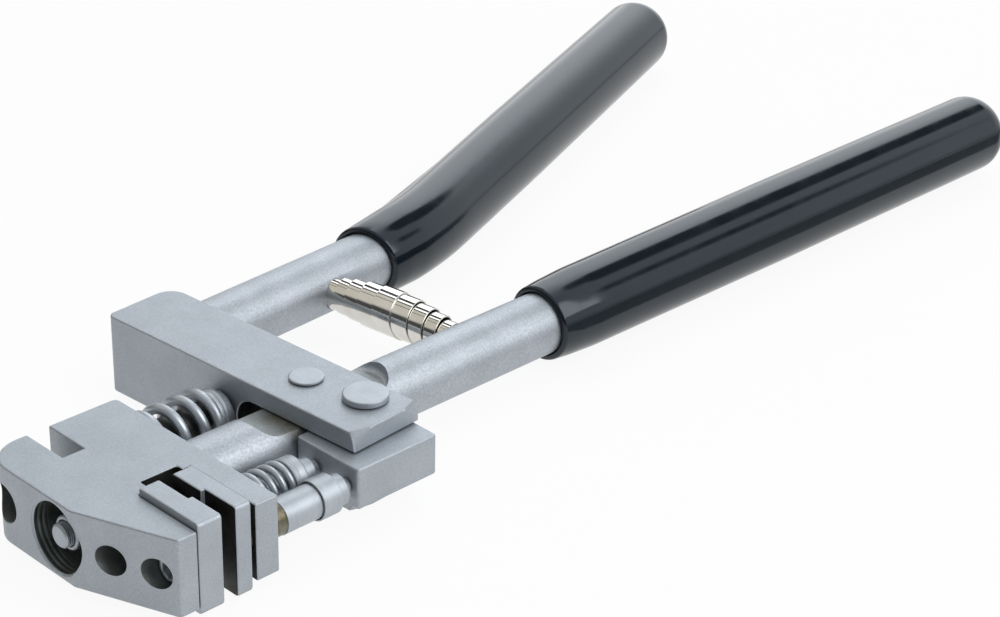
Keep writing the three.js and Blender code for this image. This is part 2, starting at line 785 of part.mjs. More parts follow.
// Profile of a dipped grip as [radius, distance]: its bore, its mouth and its round end
function gripProfile(start, length) {
  const end = start + length;
  const mouth = gripMouthDiameter / 2;
  const full = gripDiameter / 2;
  const profile = [
    [0, end - gripEndWall],
    [gripBoreRadius, end - gripEndWall],
    [gripBoreRadius, start],
    [mouth - gripLip, start],
    [mouth, start + gripLip],
    [full, start + gripTaperLength],
  ];
  for (let step = 0; step <= cornerSteps; step++) {
    const angle = (Math.PI / 2) * (step / cornerSteps);
    const radius = full - gripEndRound * (1 - Math.cos(angle));
    profile.push([radius, end - gripEndRound * (1 - Math.sin(angle))]);
  }
  profile.push([0, end]);
  return profile;
}

// Rings of wire round the Y axis: each point has a turn count and a height
function wireRings(points, radiusOf, section) {
  return points.map(({ turns, y, share }) => {
    const angle = 2 * Math.PI * turns;
    const outward = new THREE.Vector3(Math.sin(angle), 0, Math.cos(angle));
    const centre = outward.clone().multiplyScalar(radiusOf(share)).setY(y);
    return section(share).map(([across, along]) =>
      centre.clone().addScaledVector(outward, across).setY(y - along));
  });
}

function middleOf(ring) {
  const sum = ring.reduce((total, point) => total.add(point), new THREE.Vector3());
  return sum.divideScalar(ring.length);
}

// Least distance between sections of a spring that are at least most of a turn apart
function leastGap(rings, stepsPerTurn) {
  const apart = Math.floor(apartShare * stepsPerTurn);
  let least = Infinity;
  for (let first = 0; first < rings.length; first++) {
    for (let second = first + apart; second < rings.length; second++) {
      for (const a of rings[first]) {
        for (const b of rings[second]) {
          least = Math.min(least, a.distanceTo(b));
        }
      }
    }
  }
  return least;
}

function reportGap(name, rings, stepsPerTurn) {
  const gap = leastGap(rings, stepsPerTurn);
  console.log(`${name}: least gap to itself ${gap.toFixed(2)} mm, wanted ${leastSpringGap}`);
}

// Compression spring along Y from front to rear: closed turns at both ends, open turns between
function coilSpring(name, outerDiameter, wire, openTurns, front, rear) {
  const firstY = front + wire / 2;
  const lastY = rear - wire / 2;
  const closedRise = closedTurns * (wire + closedGap);
  const openRise = lastY - firstY - 2 * closedRise;
  const turnsInAll = openTurns + 2 * closedTurns;
  const steps = Math.round(turnsInAll * coilSteps);
  const points = [];
  for (let step = 0; step <= steps; step++) {
    const turns = (turnsInAll * step) / steps;
    const early = Math.min(turns, closedTurns) / closedTurns;
    const open = THREE.MathUtils.clamp((turns - closedTurns) / openTurns, 0, 1);
    const late = Math.max(0, turns - closedTurns - openTurns) / closedTurns;
    points.push({ turns, y: firstY + closedRise * (early + late) + openRise * open, share: 0 });
  }
  const section = Array.from({ length: wireSides }, (_, side) => {
    const angle = (2 * Math.PI * side) / wireSides;
    return [(wire / 2) * Math.cos(angle), (wire / 2) * Math.sin(angle)];
  });
  const rings = wireRings(points, () => (outerDiameter - wire) / 2, () => section);
  reportGap(name, rings, coilSteps);
  return loft(rings, middleOf(rings[0]), middleOf(rings[rings.length - 1]));
}

// Seats of the volute spring on the axes of the two bars, from the through bar's frame, with
// the angle of the line that joins them
function voluteSeats() {
  const right = new THREE.Vector2(0, voluteRightPlace);
  const left = new THREE.Vector2(leverBarX, voluteLeftPlace);
  left.rotateAround(new THREE.Vector2(), restAngle).sub(new THREE.Vector2(barOffset, 0));
  const line = right.clone().sub(left);
  return { left, right, angle: line.angle(), length: line.length() };
}

// A socket for the spring's end, from a seat on a bar's axis towards the other bar
function voluteSocket(seat, turn) {
  const floor = barRadius - voluteSocketDepth;
  const socket = rodAlongY(voluteSocketDiameter / 2, floor, barDiameter);
  return socket.rotateZ(voluteSeats().angle + turn - Math.PI / 2).translate(seat.x, seat.y, 0);
}

function toLeverFrame(geometry) {
  return geometry.translate(barOffset, 0, 0).rotateZ(-restAngle);
}

// The strip's turns: longer and wider in the middle of the spring, shorter at its ends
function voluteSpring() {
  const inset = barRadius - voluteSocketDepth + seatGap;
  const length = voluteSeats().length - 2 * inset;
  const run = (length + voluteTurnGap) / (1 + (1 - volutePitchShare) / voluteTurns);
  const pitch = run / voluteTurns;
  const swell = (voluteMiddleDiameter - voluteEndDiameter) / 2;
  const pitchAt = (share) => pitch * (1 - volutePitchShare * Math.cos(2 * Math.PI * share));
  const widthAt = (share) => pitchAt(share) - voluteTurnGap;
  const radiusAt = (share) => {
    const aside = Math.abs(2 * share - 1) ** voluteTaperShare;
    return (voluteEndDiameter - voluteStrip) / 2 + swell * (1 - aside);
  };
  const sectionAt = (share) => {
    const half = voluteStrip / 2;
    const low = widthAt(share) / 2;
    return [[half, -low], [half, low], [-half, low], [-half, -low]];
  };
  const steps = voluteTurns * voluteSteps;
  const points = [];
  for (let step = 0; step <= steps; step++) {
    const share = step / steps;
    const swing = (volutePitchShare * Math.sin(2 * Math.PI * share)) / (2 * Math.PI);
    points.push({ turns: share * voluteTurns, y: run * (share - swing) - run / 2, share });
  }
  const rings = wireRings(points, radiusAt, sectionAt);
  reportGap("handle_spring", rings, voluteSteps);
  return loft(rings, middleOf(rings[0]), middleOf(rings[rings.length - 1]));
}

function add(group, name, geometry, material) {
  const mesh = new THREE.Mesh(geometry, material);
  mesh.name = name;
  group.add(mesh);
  return mesh;
}

function addHead(body) {
  add(body, "head_block", headBlock(), satinPlate);
  add(body, "main_bar", mainBar(), satinPlate);
  add(body, "right_grip", turned(gripProfile(rightGripStart, rightGripLength)), blackVinyl);
  add(body, "neck_screw", neckScrew(), turnedPlate);
  add(body, "neck_sleeve", neckSleeve(), turnedPlate);
  add(body, "fixed_flange_die", fixedFlangeDie(), toolSteel);
  add(body, "fixed_die_screw_inner", dieScrew(), turnedPlate).position.x = springRodOffset;
  add(body, "fixed_die_screw_outer", dieScrew(), turnedPlate).position.x = guideRodOffset;
  add(body, "punch_die_bush", punchDieBush(), toolSteel).position.x = -punchOffset;
  const pin = headedPin(pivotShank / 2, pivotHeadDiameter / 2, pivotHeadHeight);
  add(body, "pivot_pin", pin, turnedPlate).position.x = -barOffset;
}

function addFlangeStation(body) {
  add(body, "moving_flange_die", movingFlangeDie(), toolSteel);
  add(body, "flange_plunger", flangePlunger(), turnedPlate).position.x = springRodOffset;
  add(body, "plunger_sleeve", plungerSleeve(), turnedPlate).position.x = springRodOffset;
  add(body, "guide_rod", guideRod(), turnedPlate).position.x = guideRodOffset;
  add(body, "guide_collar", guideCollar(), turnedPlate).position.x = guideRodOffset;
  const spring = coilSpring("flange_spring", flangeSpringDiameter, flangeSpringWire,
    flangeSpringTurns, headRearY + seatGap, sleeveFrontY - seatGap);
  spring.rotateY(-2 * Math.PI * flangeSpringLag);
  add(body, "flange_spring", spring, springSteel).position.x = springRodOffset;
  add(body, "pusher_block", pusherBlock(), satinPlate);
}

function addPunchStation(body) {
  add(body, "punch_plunger", punchPlunger(), turnedPlate).position.x = -punchOffset;
  add(body, "punch_collar", punchCollar(), turnedPlate).position.x = -punchOffset;
  const spring = coilSpring("punch_spring", punchSpringDiameter, punchSpringWire,
    punchSpringTurns, headRearY + seatGap, punchCollarFrontY() - seatGap);
  spring.rotateY(-2 * Math.PI * punchSpringLag);
  add(body, "punch_spring", spring, springSteel).position.x = -punchOffset;
}

function addLever(lever) {
  add(lever, "crosshead", crosshead(), satinPlate);
  add(lever, "left_bar", leftBar(), satinPlate);
  const grip = turnedAlongLever(gripProfile(leftGripStart, leftGripLength));
  add(lever, "left_grip", grip, blackVinyl);
  const pin = headedPin(blockPinShank / 2, blockPinHeadDiameter / 2, blockPinHeadHeight);
  add(lever, "block_pin", pin, turnedPlate).position.set(blockPinRight, blockPinBack, 0);
}

function addHandleSpring(body) {
  const { left, right, angle } = voluteSeats();
  const spring = add(body, "handle_spring", voluteSpring(), polishedStrip);
  spring.position.set((left.x + right.x) / 2, (left.y + right.y) / 2, 0);
  spring.rotation.z = angle - Math.PI / 2;
}

const pliers = new THREE.Group();
const tool = new THREE.Group();
const body = new THREE.Group();
const lever = new THREE.Group();
tool.position.z = yokeHeight / 2 + seatGap + pivotHeadHeight;
body.position.x = barOffset;
lever.rotation.z = restAngle;
pliers.add(tool);
tool.add(body, lever);
addHead(body);
addFlangeStation(body);
addPunchStation(body);
addHandleSpring(body);
addLever(lever);

export default pliers;
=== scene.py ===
"""The flanging pliers as they look: shaped pieces and their finishes, round the CAD frame.

Metres, +Z up. The origin is the centre of the pivot pin's lower end face, +X is the flanging side
and +Y runs back along the handles. Sizes below are in millimetres.
"""
import math

import bmesh
import bpy
from mathutils import Matrix, Vector


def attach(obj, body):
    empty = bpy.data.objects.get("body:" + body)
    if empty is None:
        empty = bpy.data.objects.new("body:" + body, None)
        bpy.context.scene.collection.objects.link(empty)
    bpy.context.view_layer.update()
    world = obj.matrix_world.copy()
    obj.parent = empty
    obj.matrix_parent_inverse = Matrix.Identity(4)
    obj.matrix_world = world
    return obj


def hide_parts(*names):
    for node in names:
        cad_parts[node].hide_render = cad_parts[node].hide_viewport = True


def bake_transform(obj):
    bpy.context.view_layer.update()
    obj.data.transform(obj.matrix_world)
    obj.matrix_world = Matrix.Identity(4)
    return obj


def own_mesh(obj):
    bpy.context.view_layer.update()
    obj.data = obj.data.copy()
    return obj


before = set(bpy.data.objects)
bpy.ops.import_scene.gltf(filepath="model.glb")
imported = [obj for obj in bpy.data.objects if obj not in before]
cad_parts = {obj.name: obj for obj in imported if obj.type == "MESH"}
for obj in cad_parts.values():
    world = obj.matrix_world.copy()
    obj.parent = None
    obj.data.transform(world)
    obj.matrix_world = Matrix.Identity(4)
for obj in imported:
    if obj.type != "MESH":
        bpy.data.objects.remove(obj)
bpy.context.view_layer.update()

MM = 0.001

# Sizes, as on the CAD frame: across from the through bar's axis, back from the pivot pin
bar_x, bar_z = 3.3, 11.1
seat_gap = 0.3
bar_radius, bar_shoulder = 8.0, -39.6
spigot_radius, spigot_front = 5.0, -61.1
flat_half = 5.15
stud_radius, stud_end = 2.9, -55.1
pivot_radius = 2.5
head_front, head_rear = -73.1, -36.9
head_left, head_right, head_half = -26.3, 30.6, 9.6
gap_left, gap_front, gap_rear = 6.5, -55.0, -45.2
die_seat_left, die_seat_front, die_seat_rear = 10.5, -58.6, -54.0
die_guide_left, die_guide_front, die_guide_rear = 8.4, -46.0, -43.1
rod_bore_front = -44.1
notch_right, notch_front, notch_rear = -13.0, -61.2, -55.5
screw_seat, screw_bore_radius = -57.6, 3.65
exit_bore_radius, shank_bore_front = 4.65, -47.1
punch_tip_radius, punch_shank_radius = 2.5, 4.1
spring_rod_radius, guide_rod_radius, rod_tip_radius = 3.0, 4.0, 2.0
rest_angle = math.radians(3.75)
yoke_left, yoke_right, yoke_front, yoke_rear, yoke_half = -57.5, 26.3, -10.8, 9.9, 10.25
slot_half, slot_reach = 5.45, 12.2
block_pin_x, block_pin_y, block_pin_radius = 16.5, 2.7, 3.0
lever_x, spigot_end = -47.5, -2.1
bend_place, bend_radius, bend_angle = 83.3, 125.0, math.radians(18.25)
right_grip_start, right_grip_end = 73.0, 262.0
left_grip_start, left_grip_end = 67.2, 262.6
grip_slant = math.radians(11.5)
punch_x, spring_rod_x, guide_rod_x = -19.2, 15.0, 25.5
cap_end, rod_end = -15.2, -13.3
volute_right_y, volute_left_y = 52.0, 49.2
volute_start = 5.7
punch_travel, flange_travel = 6.6, 3.18


def spot(x, y, z=0.0):
    """A place in the frame from millimetres across from the bar's axis, back and up."""
    return Vector((x + bar_x, y, z + bar_z)) * MM


# Bench work: the tools that every piece is shaped with
def lay_down():
    """Nothing is held: object mode, nothing selected."""
    if bpy.context.mode != "OBJECT":
        bpy.ops.object.mode_set(mode="OBJECT")
    bpy.ops.object.select_all(action="DESELECT")


def hold(piece):
    """Only this piece is held."""
    lay_down()
    piece.select_set(True)
    bpy.context.view_layer.objects.active = piece
    return piece


def open_up(piece, kind, pick="SELECT"):
    """Edit mode with everything or nothing selected, and the mesh to pick from."""
    hold(piece)
    bpy.ops.object.mode_set(mode="EDIT")
    bpy.ops.mesh.select_mode(type=kind)
    bpy.ops.mesh.select_all(action=pick)
    return bmesh.from_edit_mesh(piece.data)


def name_it(name):
    """Names the piece just made, and leaves it untransformed at the origin."""
    piece = bpy.context.active_object
    piece.name = piece.data.name = name
    bpy.ops.object.transform_apply(location=True, rotation=True, scale=True)
    return piece


def billet(name, left, right, front, rear, low, high):
    """A block of stock between its six faces."""
    lay_down()
    middle = spot((left + right) / 2, (front + rear) / 2, (low + high) / 2)
    bpy.ops.mesh.primitive_cube_add(size=1, location=middle)
    bpy.context.active_object.scale = Vector((right - left, rear - front, high - low)) * MM
    return name_it(name)


def cutter(radius, length, middle, rotation=(0, 0, 0), sides=64):
    """A cylinder to cut with. Its middle is in metres."""
    lay_down()
    bpy.ops.mesh.primitive_cylinder_add(vertices=sides, radius=radius * MM, depth=length * MM,
                                        location=middle, rotation=rotation)
    return name_it("drill")


def drill(x, front, rear, radius, sides=96):
    """A drill along the bar's direction."""
    return cutter(radius, rear - front, spot(x, (front + rear) / 2), (math.pi / 2, 0, 0), sides)


def bore_down(x, y, radius):
    """A drill from above, long enough for every piece."""
    return cutter(radius, 60, spot(x, y))


def bore(x, face, floor, radius):
    """A drill that enters at a face and eases its rim with a small chamfer."""
    rim, clear = 0.3, 0.5
    way = 1 if floor > face else -1
    wide = radius + rim + clear
    return turn("drill", [(0, face - way * clear), (wide, face - way * clear),
                          (radius, face + way * rim), (radius, floor), (0, floor)], x)


def take_away(piece, *tools):
    """Cuts the tools out of the piece."""
    for tool in tools:
        hold(piece)
        step = piece.modifiers.new("cut", "BOOLEAN")
        step.operation, step.solver, step.object = "DIFFERENCE", "EXACT", tool
        bpy.ops.object.modifier_apply(modifier=step.name)
        bpy.data.objects.remove(tool)
    return piece


def round_corners(piece, picked, radius, steps=8):
    """Rounds the edges for which picked(middle, direction) holds, in millimetres."""
    mesh = open_up(piece, "EDGE", "DESELECT")
    for edge in mesh.edges:
        start, end = (vertex.co / MM for vertex in edge.verts)
        edge.select_set(bool(picked((start + end) / 2, (end - start).normalized())))
    bmesh.update_edit_mesh(piece.data)
    bpy.ops.mesh.bevel(offset=radius * MM, segments=steps, affect="EDGES", clamp_overlap=False)
    lay_down()
    return piece


def upright_edge(x, y):
    """Picks the upright edge at a corner of a block."""
    return lambda middle, way: (abs(way.z) > 0.9 and abs(middle.x - bar_x - x) < 1
                                and abs(middle.y - y) < 1)


def break_edges(piece, width):
    """Small rounds on every sharp edge, with the flats kept flat."""
    hold(piece)
    step = piece.modifiers.new("edges", "BEVEL")
    step.width, step.segments, step.limit_method = width * MM, 3, "ANGLE"
    step.angle_limit = math.radians(28)
    step.use_clamp_overlap = False
    bpy.ops.object.modifier_apply(modifier=step.name)
    return shade(piece, 40)


def shade(piece, angle):
    """Smooth where it is round, with sharp edges above an angle in degrees."""
    hold(piece)
    bpy.ops.object.shade_smooth_by_angle(angle=math.radians(angle))
    step = piece.modifiers.new("flats", "WEIGHTED_NORMAL")
    step.keep_sharp = True
    bpy.ops.object.modifier_apply(modifier=step.name)
    lay_down()
    return piece


def eased(outline):
    """An outline of (radius, place, easing): each corner with an easing becomes a small arc."""
    steps = 3
    points = []
    for index, corner in enumerate(outline):
        here = Vector(corner[:2])
        easing = corner[2] if len(corner) > 2 else 0
        if not easing or index in (0, len(outline) - 1):
            points.append(tuple(here))
            continue
        before, after = (Vector(outline[index + way][:2]) - here for way in (-1, 1))
        start = here + before.normalized() * min(easing, before.length / 2)
        end = here + after.normalized() * min(easing, after.length / 2)
        for step in range(steps + 1):
            share = step / steps
            arc = start * (1 - share) ** 2 + here * 2 * share * (1 - share) + end * share ** 2
            points.append(tuple(arc))
    return points


def turn(name, outline, x=0.0, sides=96, smooth=35):
    """A turned piece: its outline drawn point by point, then spun about its axis."""
    points = [spot(x + radius, place) for radius, place in eased(outline)]
    lay_down()
    bpy.ops.mesh.primitive_plane_add(size=MM, location=points[0])
    piece = name_it(name)
    open_up(piece, "VERT")
    bpy.ops.mesh.merge(type="CENTER")
    for here, there in zip(points, points[1:]):
        bpy.ops.mesh.extrude_region_move(TRANSFORM_OT_translate={"value": there - here})
    bpy.ops.mesh.select_all(action="SELECT")
    bpy.ops.mesh.spin(steps=sides, angle=2 * math.pi, center=spot(x, 0), axis=(0, 1, 0))
    bpy.ops.mesh.select_all(action="SELECT")
    bpy.ops.mesh.remove_doubles(threshold=5e-6)
    bpy.ops.mesh.normals_make_consistent(inside=False)
    lay_down()
    return shade(piece, smooth)


def stand_up(piece, x, y):
    """Turns a piece that was made along the bar upright, and stands it at x, y."""
    hold(piece)
    centre = spot(0, 0)
    upright = Matrix.Rotation(math.pi / 2, 4, "X")
    piece.data.transform(Matrix.Translation(spot(x, y)) @ upright @ Matrix.Translation(-centre))
    return piece


def with_the_crosshead(piece):
    """From the crosshead's own square frame to its rest place, turned about the pivot pin."""
    square_place = Matrix.Translation((-bar_x * MM, 0, 0))
    piece.data.transform(Matrix.Rotation(rest_angle, 4, "Z") @ square_place)
    return piece


# Finishes
def tint(code):
    """An sRGB hex colour as the linear colour that the shaders want."""
    parts = [int(code[i:i + 2], 16) / 255 for i in (1, 3, 5)]
    return (*[p / 12.92 if p <= 0.04045 else ((p + 0.055) / 1.055) ** 2.4 for p in parts], 1.0)


def put(tree, kind, sockets=None, **settings):
    """Adds a shader node with its settings, and gives its inputs a value or a link. Another node
    may stand for its first output that is in use."""
    node = tree.nodes.new("ShaderNode" + kind)
    for name, value in settings.items():
        setattr(node, name, value)
    for name, value in (sockets or {}).items():
        if isinstance(value, bpy.types.Node):
            value = next(output for output in value.outputs if output.enabled)
        if isinstance(value, bpy.types.NodeSocket):
            tree.links.new(value, node.inputs[name])
        else:
            node.inputs[name].default_value = value
    return node


def blank(name):
    """A new material with its empty tree and the object's own coordinates."""
    material = bpy.data.materials.new(name)
    material.use_nodes = True
    tree = material.node_tree
    tree.nodes.clear()
    return material, tree, put(tree, "TexCoord").outputs["Object"]


def surface(tree, sockets):
    """Ends a material with its shader."""
    put(tree, "OutputMaterial", {"Surface": put(tree, "BsdfPrincipled", sockets)})


def mottled(tree, place, light, dark, size):
    """Two tones of one colour in soft patches about size millimetres across."""
    patches = put(tree, "TexNoise", {"Vector": place, "Scale": 1000 / size, "Detail": 4.0})
    spread = put(tree, "MapRange", {"Value": patches, "From Min": 0.35, "From Max": 0.65})
    return blend_in(tree, spread, tint(dark), tint(light))


def blend_in(tree, share, under, over):
    """One colour over another by a share. Inputs 6 and 7 are the Mix node's colours, which
    share their names with its numbers."""
    return put(tree, "Mix", {"Factor": share, 6: under, 7: over}, data_type="RGBA")


def blasted_plate(name, light, dark, roughness=0.55, grain=0.4, depth=0.02, speck=0.07, stain=None):
    """Steel blasted with fine beads and zinc plated: a soft grey sheen with glittering grains.
    The grains of the real finish are near 0.15 mm; they are drawn at 0.4 mm so that they show."""
    material, tree, place = blank(name)
    colour = mottled(tree, place, light, dark, 9)
    grains = put(tree, "TexNoise", {"Vector": place, "Scale": 1000 / grain, "Detail": 2.0,
                 "Roughness": 0.6})
    glitter = put(tree, "MapRange", {"Value": grains, "From Min": 0.3, "From Max": 0.7,
                  "To Min": 1 - speck, "To Max": 1 + speck})
    colour = put(tree, "VectorMath", {0: colour, "Scale": glitter}, operation="SCALE")
    if stain:
        colour = stain(tree, place, colour)
    rough = put(tree, "MapRange", {"Value": grains, "From Min": 0.3, "From Max": 0.7,
                "To Min": roughness + 0.06, "To Max": roughness - 0.06})
    bump = put(tree, "Bump", {"Height": grains, "Strength": 0.5, "Distance": depth * MM})
    surface(tree, {"Base Color": colour, "Roughness": rough, "Normal": bump, "Metallic": 0.85})
    return material


def turned_plate(name, light, dark, roughness=0.5, pitch=0.45, depth=0.01):
    """Turned steel, zinc plated: a brighter sheen that fine rings from the tool break up. The
    real rings are near 0.1 mm apart; they are drawn at 0.45 to 0.9 mm so that they show."""
    material, tree, place = blank(name)
    colour = mottled(tree, place, light, dark, 6)
    along = put(tree, "Mapping", {"Vector": place, "Scale": (40, 1000 / pitch, 40)})
    rings = put(tree, "TexNoise", {"Vector": along, "Scale": 1.0, "Detail": 3.0, "Roughness": 0.7})
    speck = put(tree, "MapRange", {"Value": rings, "From Min": 0.3, "From Max": 0.7,
                "To Min": 0.91, "To Max": 1.07})
    toned = put(tree, "VectorMath", {0: colour, "Scale": speck}, operation="SCALE")
    rough = put(tree, "MapRange", {"Value": rings, "From Min": 0.3, "From Max": 0.7,
                "To Min": roughness - 0.06, "To Max": roughness + 0.08})
    bump = put(tree, "Bump", {"Height": rings, "Strength": 0.5, "Distance": depth * MM})
    surface(tree, {"Base Color": toned, "Roughness": rough, "Normal": bump, "Metallic": 0.9})
    return material


def polished_nickel():
    """Spring strip with bright nickel on it: near a mirror, a little warm, with rolling lines
    that run round the spring with the strip."""
    material, tree, place = blank("polished_nickel_strip")
    colour = mottled(tree, place, "#e0deda", "#d3d0c8", 7)
    lines = put(tree, "Mapping", {"Vector": place, "Scale": (1600, 120, 120)})
    rolled = put(tree, "TexNoise", {"Vector": lines, "Scale": 1.0, "Detail": 2.0})
    rough = put(tree, "MapRange", {"Value": rolled, "From Min": 0.3, "From Max": 0.7,
                "To Min": 0.04, "To Max": 0.1})
    surface(tree, {"Base Color": colour, "Roughness": rough, "Metallic": 1.0})
    return material


def dipped_vinyl():
    """Soft vinyl that the handle was dipped in: glossy, with a slight orange peel 2 mm across
    and faint handling marks."""
    material, tree, place = blank("dipped_vinyl")
    colour = mottled(tree, place, "#111a20", "#0e161b", 14)
    peel = put(tree, "TexNoise", {"Vector": place, "Scale": 450.0, "Detail": 2.0})
    marks = put(tree, "TexNoise", {"Vector": place, "Scale": 160.0, "Detail": 5.0})
    rough = put(tree, "MapRange", {"Value": marks, "From Min": 0.35, "From Max": 0.7,
                "To Min": 0.09, "To Max": 0.17})
    bump = put(tree, "Bump", {"Height": peel, "Strength": 0.2, "Distance": 0.015 * MM})
    surface(tree, {"Base Color": colour, "Roughness": rough, "Normal": bump, "IOR": 1.53,
                   "Specular Tint": tint("#e2edf8")})
    return material


def within(tree, place, centre, reach, soft):
    """1 near a place in the frame, fading to 0 over soft millimetres beyond its reach."""
    away = put(tree, "VectorMath", {0: place, 1: centre}, operation="DISTANCE")
    return put(tree, "MapRange", {"Value": away, "From Min": reach * MM,
               "From Max": (reach + soft) * MM, "To Min": 1.0, "To Max": 0.0})


def oil_by_the_slot(tree, place, colour):
    """Old oil, brown and thin, where the bar goes into the crosshead's slot."""
    ragged = put(tree, "TexNoise", {"Vector": place, "Scale": 900.0, "Detail": 4.0})
    for centre, reach in ((spot(-0.5, -11.4, 5.1), 1.6), (spot(5.2, -10.8, 5.0), 1.8)):
        near = within(tree, place, centre, reach, 3.0)
        share = put(tree, "Math", {0: near, 1: ragged}, operation="MULTIPLY")
        colour = blend_in(tree, share, colour, tint("#6b5f3e"))
    return colour


# Head, crosshead and pusher: an even, soft grey
blasted = blasted_plate("bead_blasted_zinc_plate", "#afb5bb", "#a9afb5")
# The two bars: the same blast on bar stock, with a coarser and livelier grain
blasted_bar = blasted_plate("bead_blasted_bar", "#b4b9c0", "#abb1b7", roughness=0.5, grain=0.5,
                            depth=0.04, speck=0.12, stain=oil_by_the_slot)
# The dies: hard steel, a little smoother than the head
ground_die = blasted_plate("blasted_die_steel", "#afb5bb", "#a7adb3", roughness=0.5)
# Rods, pins and screws
turned_zinc = turned_plate("turned_zinc_plate", "#b6bcc2", "#acb2b8")
# The coil springs: drawn wire, with clearer lights on its turns
spring_wire = turned_plate("plated_spring_wire", "#c0c6cc", "#a9afb5", roughness=0.4, pitch=0.9)
# The guide rod's front end by the head: bare ground steel with dark oil over it, its tone also
# darkened as painted shade where it meets the head
oiled_rod_with_painted_shade = turned_plate("oiled_ground_rod_with_painted_shade", "#8f8d80", "#4a3f26", roughness=0.35)
# The bores in the front face: tool marks under a thin film of oil
bored = turned_plate("bored_wall_in_oil", "#979c9a", "#727774", pitch=0.8, depth=0.04)
# Walls deep in the work, in the dies' gap, the fork's slot and round the punch's shank: painted
# shade, a near-black lining that stands for the shadow there
painted_shade_wall = turned_plate("milled_wall_dark_as_painted_shade", "#585b5a", "#3a3833", pitch=0.8)
# The two flats on the bar: milled, a little duller than the round
milled_flat_finish = blasted_plate("milled_flat", "#a3a8a9", "#939898", roughness=0.5,
                                   stain=oil_by_the_slot)
nickel = polished_nickel()
vinyl = dipped_vinyl()


def finish_piece(piece, material, body, node):
    """Gives a piece its finish, unless it has one, puts it under its body, and hides its CAD node."""
    if not piece.data.materials:
        piece.data.materials.append(material)
    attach(piece, body)
    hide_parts(node)


def line_walls(piece, first, lining, picked):
    """A finish all over, and a second one on the faces for which picked(middle, normal) holds."""
    finishes = piece.data.materials
    if not finishes:
        finishes.append(first)
    finishes.append(lining)
    index = len(finishes) - 1
    for face in piece.data.polygons:
        if picked(face.center / MM - Vector((bar_x, 0, bar_z)), face.normal):
            face.material_index = index


# Head block
def head_block():
    """A block with a slanting facet, the punch's notch, the dies' opening and the bores."""
    body = billet("head_body", head_left, head_right, head_front, head_rear, -head_half, head_half)
    facet_start, facet_depth = 6.0, 9.4
    open_up(body, "FACE")
    slope = Vector((facet_depth, facet_start - head_right, 0)).normalized()
    bpy.ops.mesh.bisect(plane_co=spot(facet_start, head_front), plane_no=slope, use_fill=True,
                        clear_outer=True)
    lay_down()
    round_corners(body, upright_edge(head_left, head_front), 9.0, 16)
    round_corners(body, upright_edge(head_left, head_rear), 1.5, 6)
    tall, wide = head_half + 2, head_right + 2
    take_away(body,
              billet("tool", head_left - 2, notch_right, notch_front, notch_rear, -tall, tall),
              billet("tool", gap_left, wide, gap_front, gap_rear, -tall, tall),
              billet("tool", die_seat_left, wide, die_seat_front, die_seat_rear, -tall, tall),
              billet("tool", die_guide_left, wide, die_guide_front, die_guide_rear, -tall, tall))
    break_edges(body, 0.4)
    behind = head_rear + 1
    take_away(body, nose_bore(),
              drill(0, bar_shoulder - seat_gap, behind, bar_radius + seat_gap),
              drill(0, spigot_front - 0.9, behind - 2.1, spigot_radius + seat_gap),
              bore(punch_x, head_front, notch_front + 1.2, exit_bore_radius),
              drill(punch_x, notch_rear - 1, head_rear - 1, punch_tip_radius + seat_gap),
              drill(punch_x, shank_bore_front, behind, punch_shank_radius + seat_gap),
              drill(spring_rod_x, head_front - 1, screw_seat, screw_bore_radius),
              drill(guide_rod_x, head_front - 1, screw_seat, screw_bore_radius),
              drill(spring_rod_x, rod_bore_front, behind, spring_rod_radius + seat_gap),
              drill(guide_rod_x, rod_bore_front, behind, guide_rod_radius + seat_gap))
    shade(body, 35)
    line_walls(body, blasted, bored, in_a_front_bore)
    # The upright walls round the dies' opening get the near-black lining: painted shade deep in the
    # gap
    line_walls(body, blasted, painted_shade_wall, in_the_dies_opening)
    finish_piece(body, blasted, "frame", "head_block")


def nose_bore():
    """The open bore in the front face: a chamfer, three turns of thread, then a plain wall."""
    wall, root = 8.4, 8.52
    thread_start, pitch = head_front + 1.1, 1.25
    outline = [(0, head_front - 0.5), (wall + 0.9, head_front - 0.5), (wall, head_front + 0.45)]
    for turns in range(3):
        crest = thread_start + pitch * turns
        outline += [(wall, crest), (root, crest + 0.25), (root, crest + 0.4), (wall, crest + 0.65)]
    return turn("drill", [*outline, (wall, spigot_front), (0, spigot_front)], sides=128)


def in_a_front_bore(middle, normal):
    """True for the walls and floors of the bores that open in the front face, but not its facet."""
    on_the_facet = -0.99 < normal.y < -0.5
    if middle.y > screw_seat + 0.1 or middle.y < head_front + 0.4 or on_the_facet:
        return False
    near = 0.1
    bores = ((0, 8.8), (punch_x, exit_bore_radius), (spring_rod_x, screw_bore_radius),
             (guide_rod_x, screw_bore_radius))
    return any(math.hypot(middle.x - x, middle.z) < radius + near for x, radius in bores)


def in_the_dies_opening(middle, normal):
    """True for the upright walls round the flanging dies, short of the head's outer faces."""
    return (gap_left - 0.2 < middle.x < head_right - 0.1 and abs(middle.z) < head_half - 0.1
            and die_seat_front - 0.1 < middle.y < die_guide_rear + 0.1 and abs(normal.z) < 0.5)


# Through bar and the screw in its nose
def volute_line():
    """The two ends of the volute spring's line, on the bars' axes, in the frame's millimetres."""
    right = Vector((bar_x, volute_right_y, bar_z))
    turned_place = Matrix.Rotation(rest_angle, 2) @ Vector((lever_x, volute_left_y))
    return Vector((turned_place.x, turned_place.y, bar_z)), right


def volute_seat(at_right):
    """A drill for the spring's socket, on the side of a bar that faces the other."""
    left, right = volute_line()
    way = (right - left).normalized()
    length, radius, from_axis = 10.6, 4.15, 10.7
    middle = right - way * from_axis if at_right else left + way * from_axis
    return cutter(radius, length, middle * MM, way.to_track_quat("Z", "Y").to_euler())


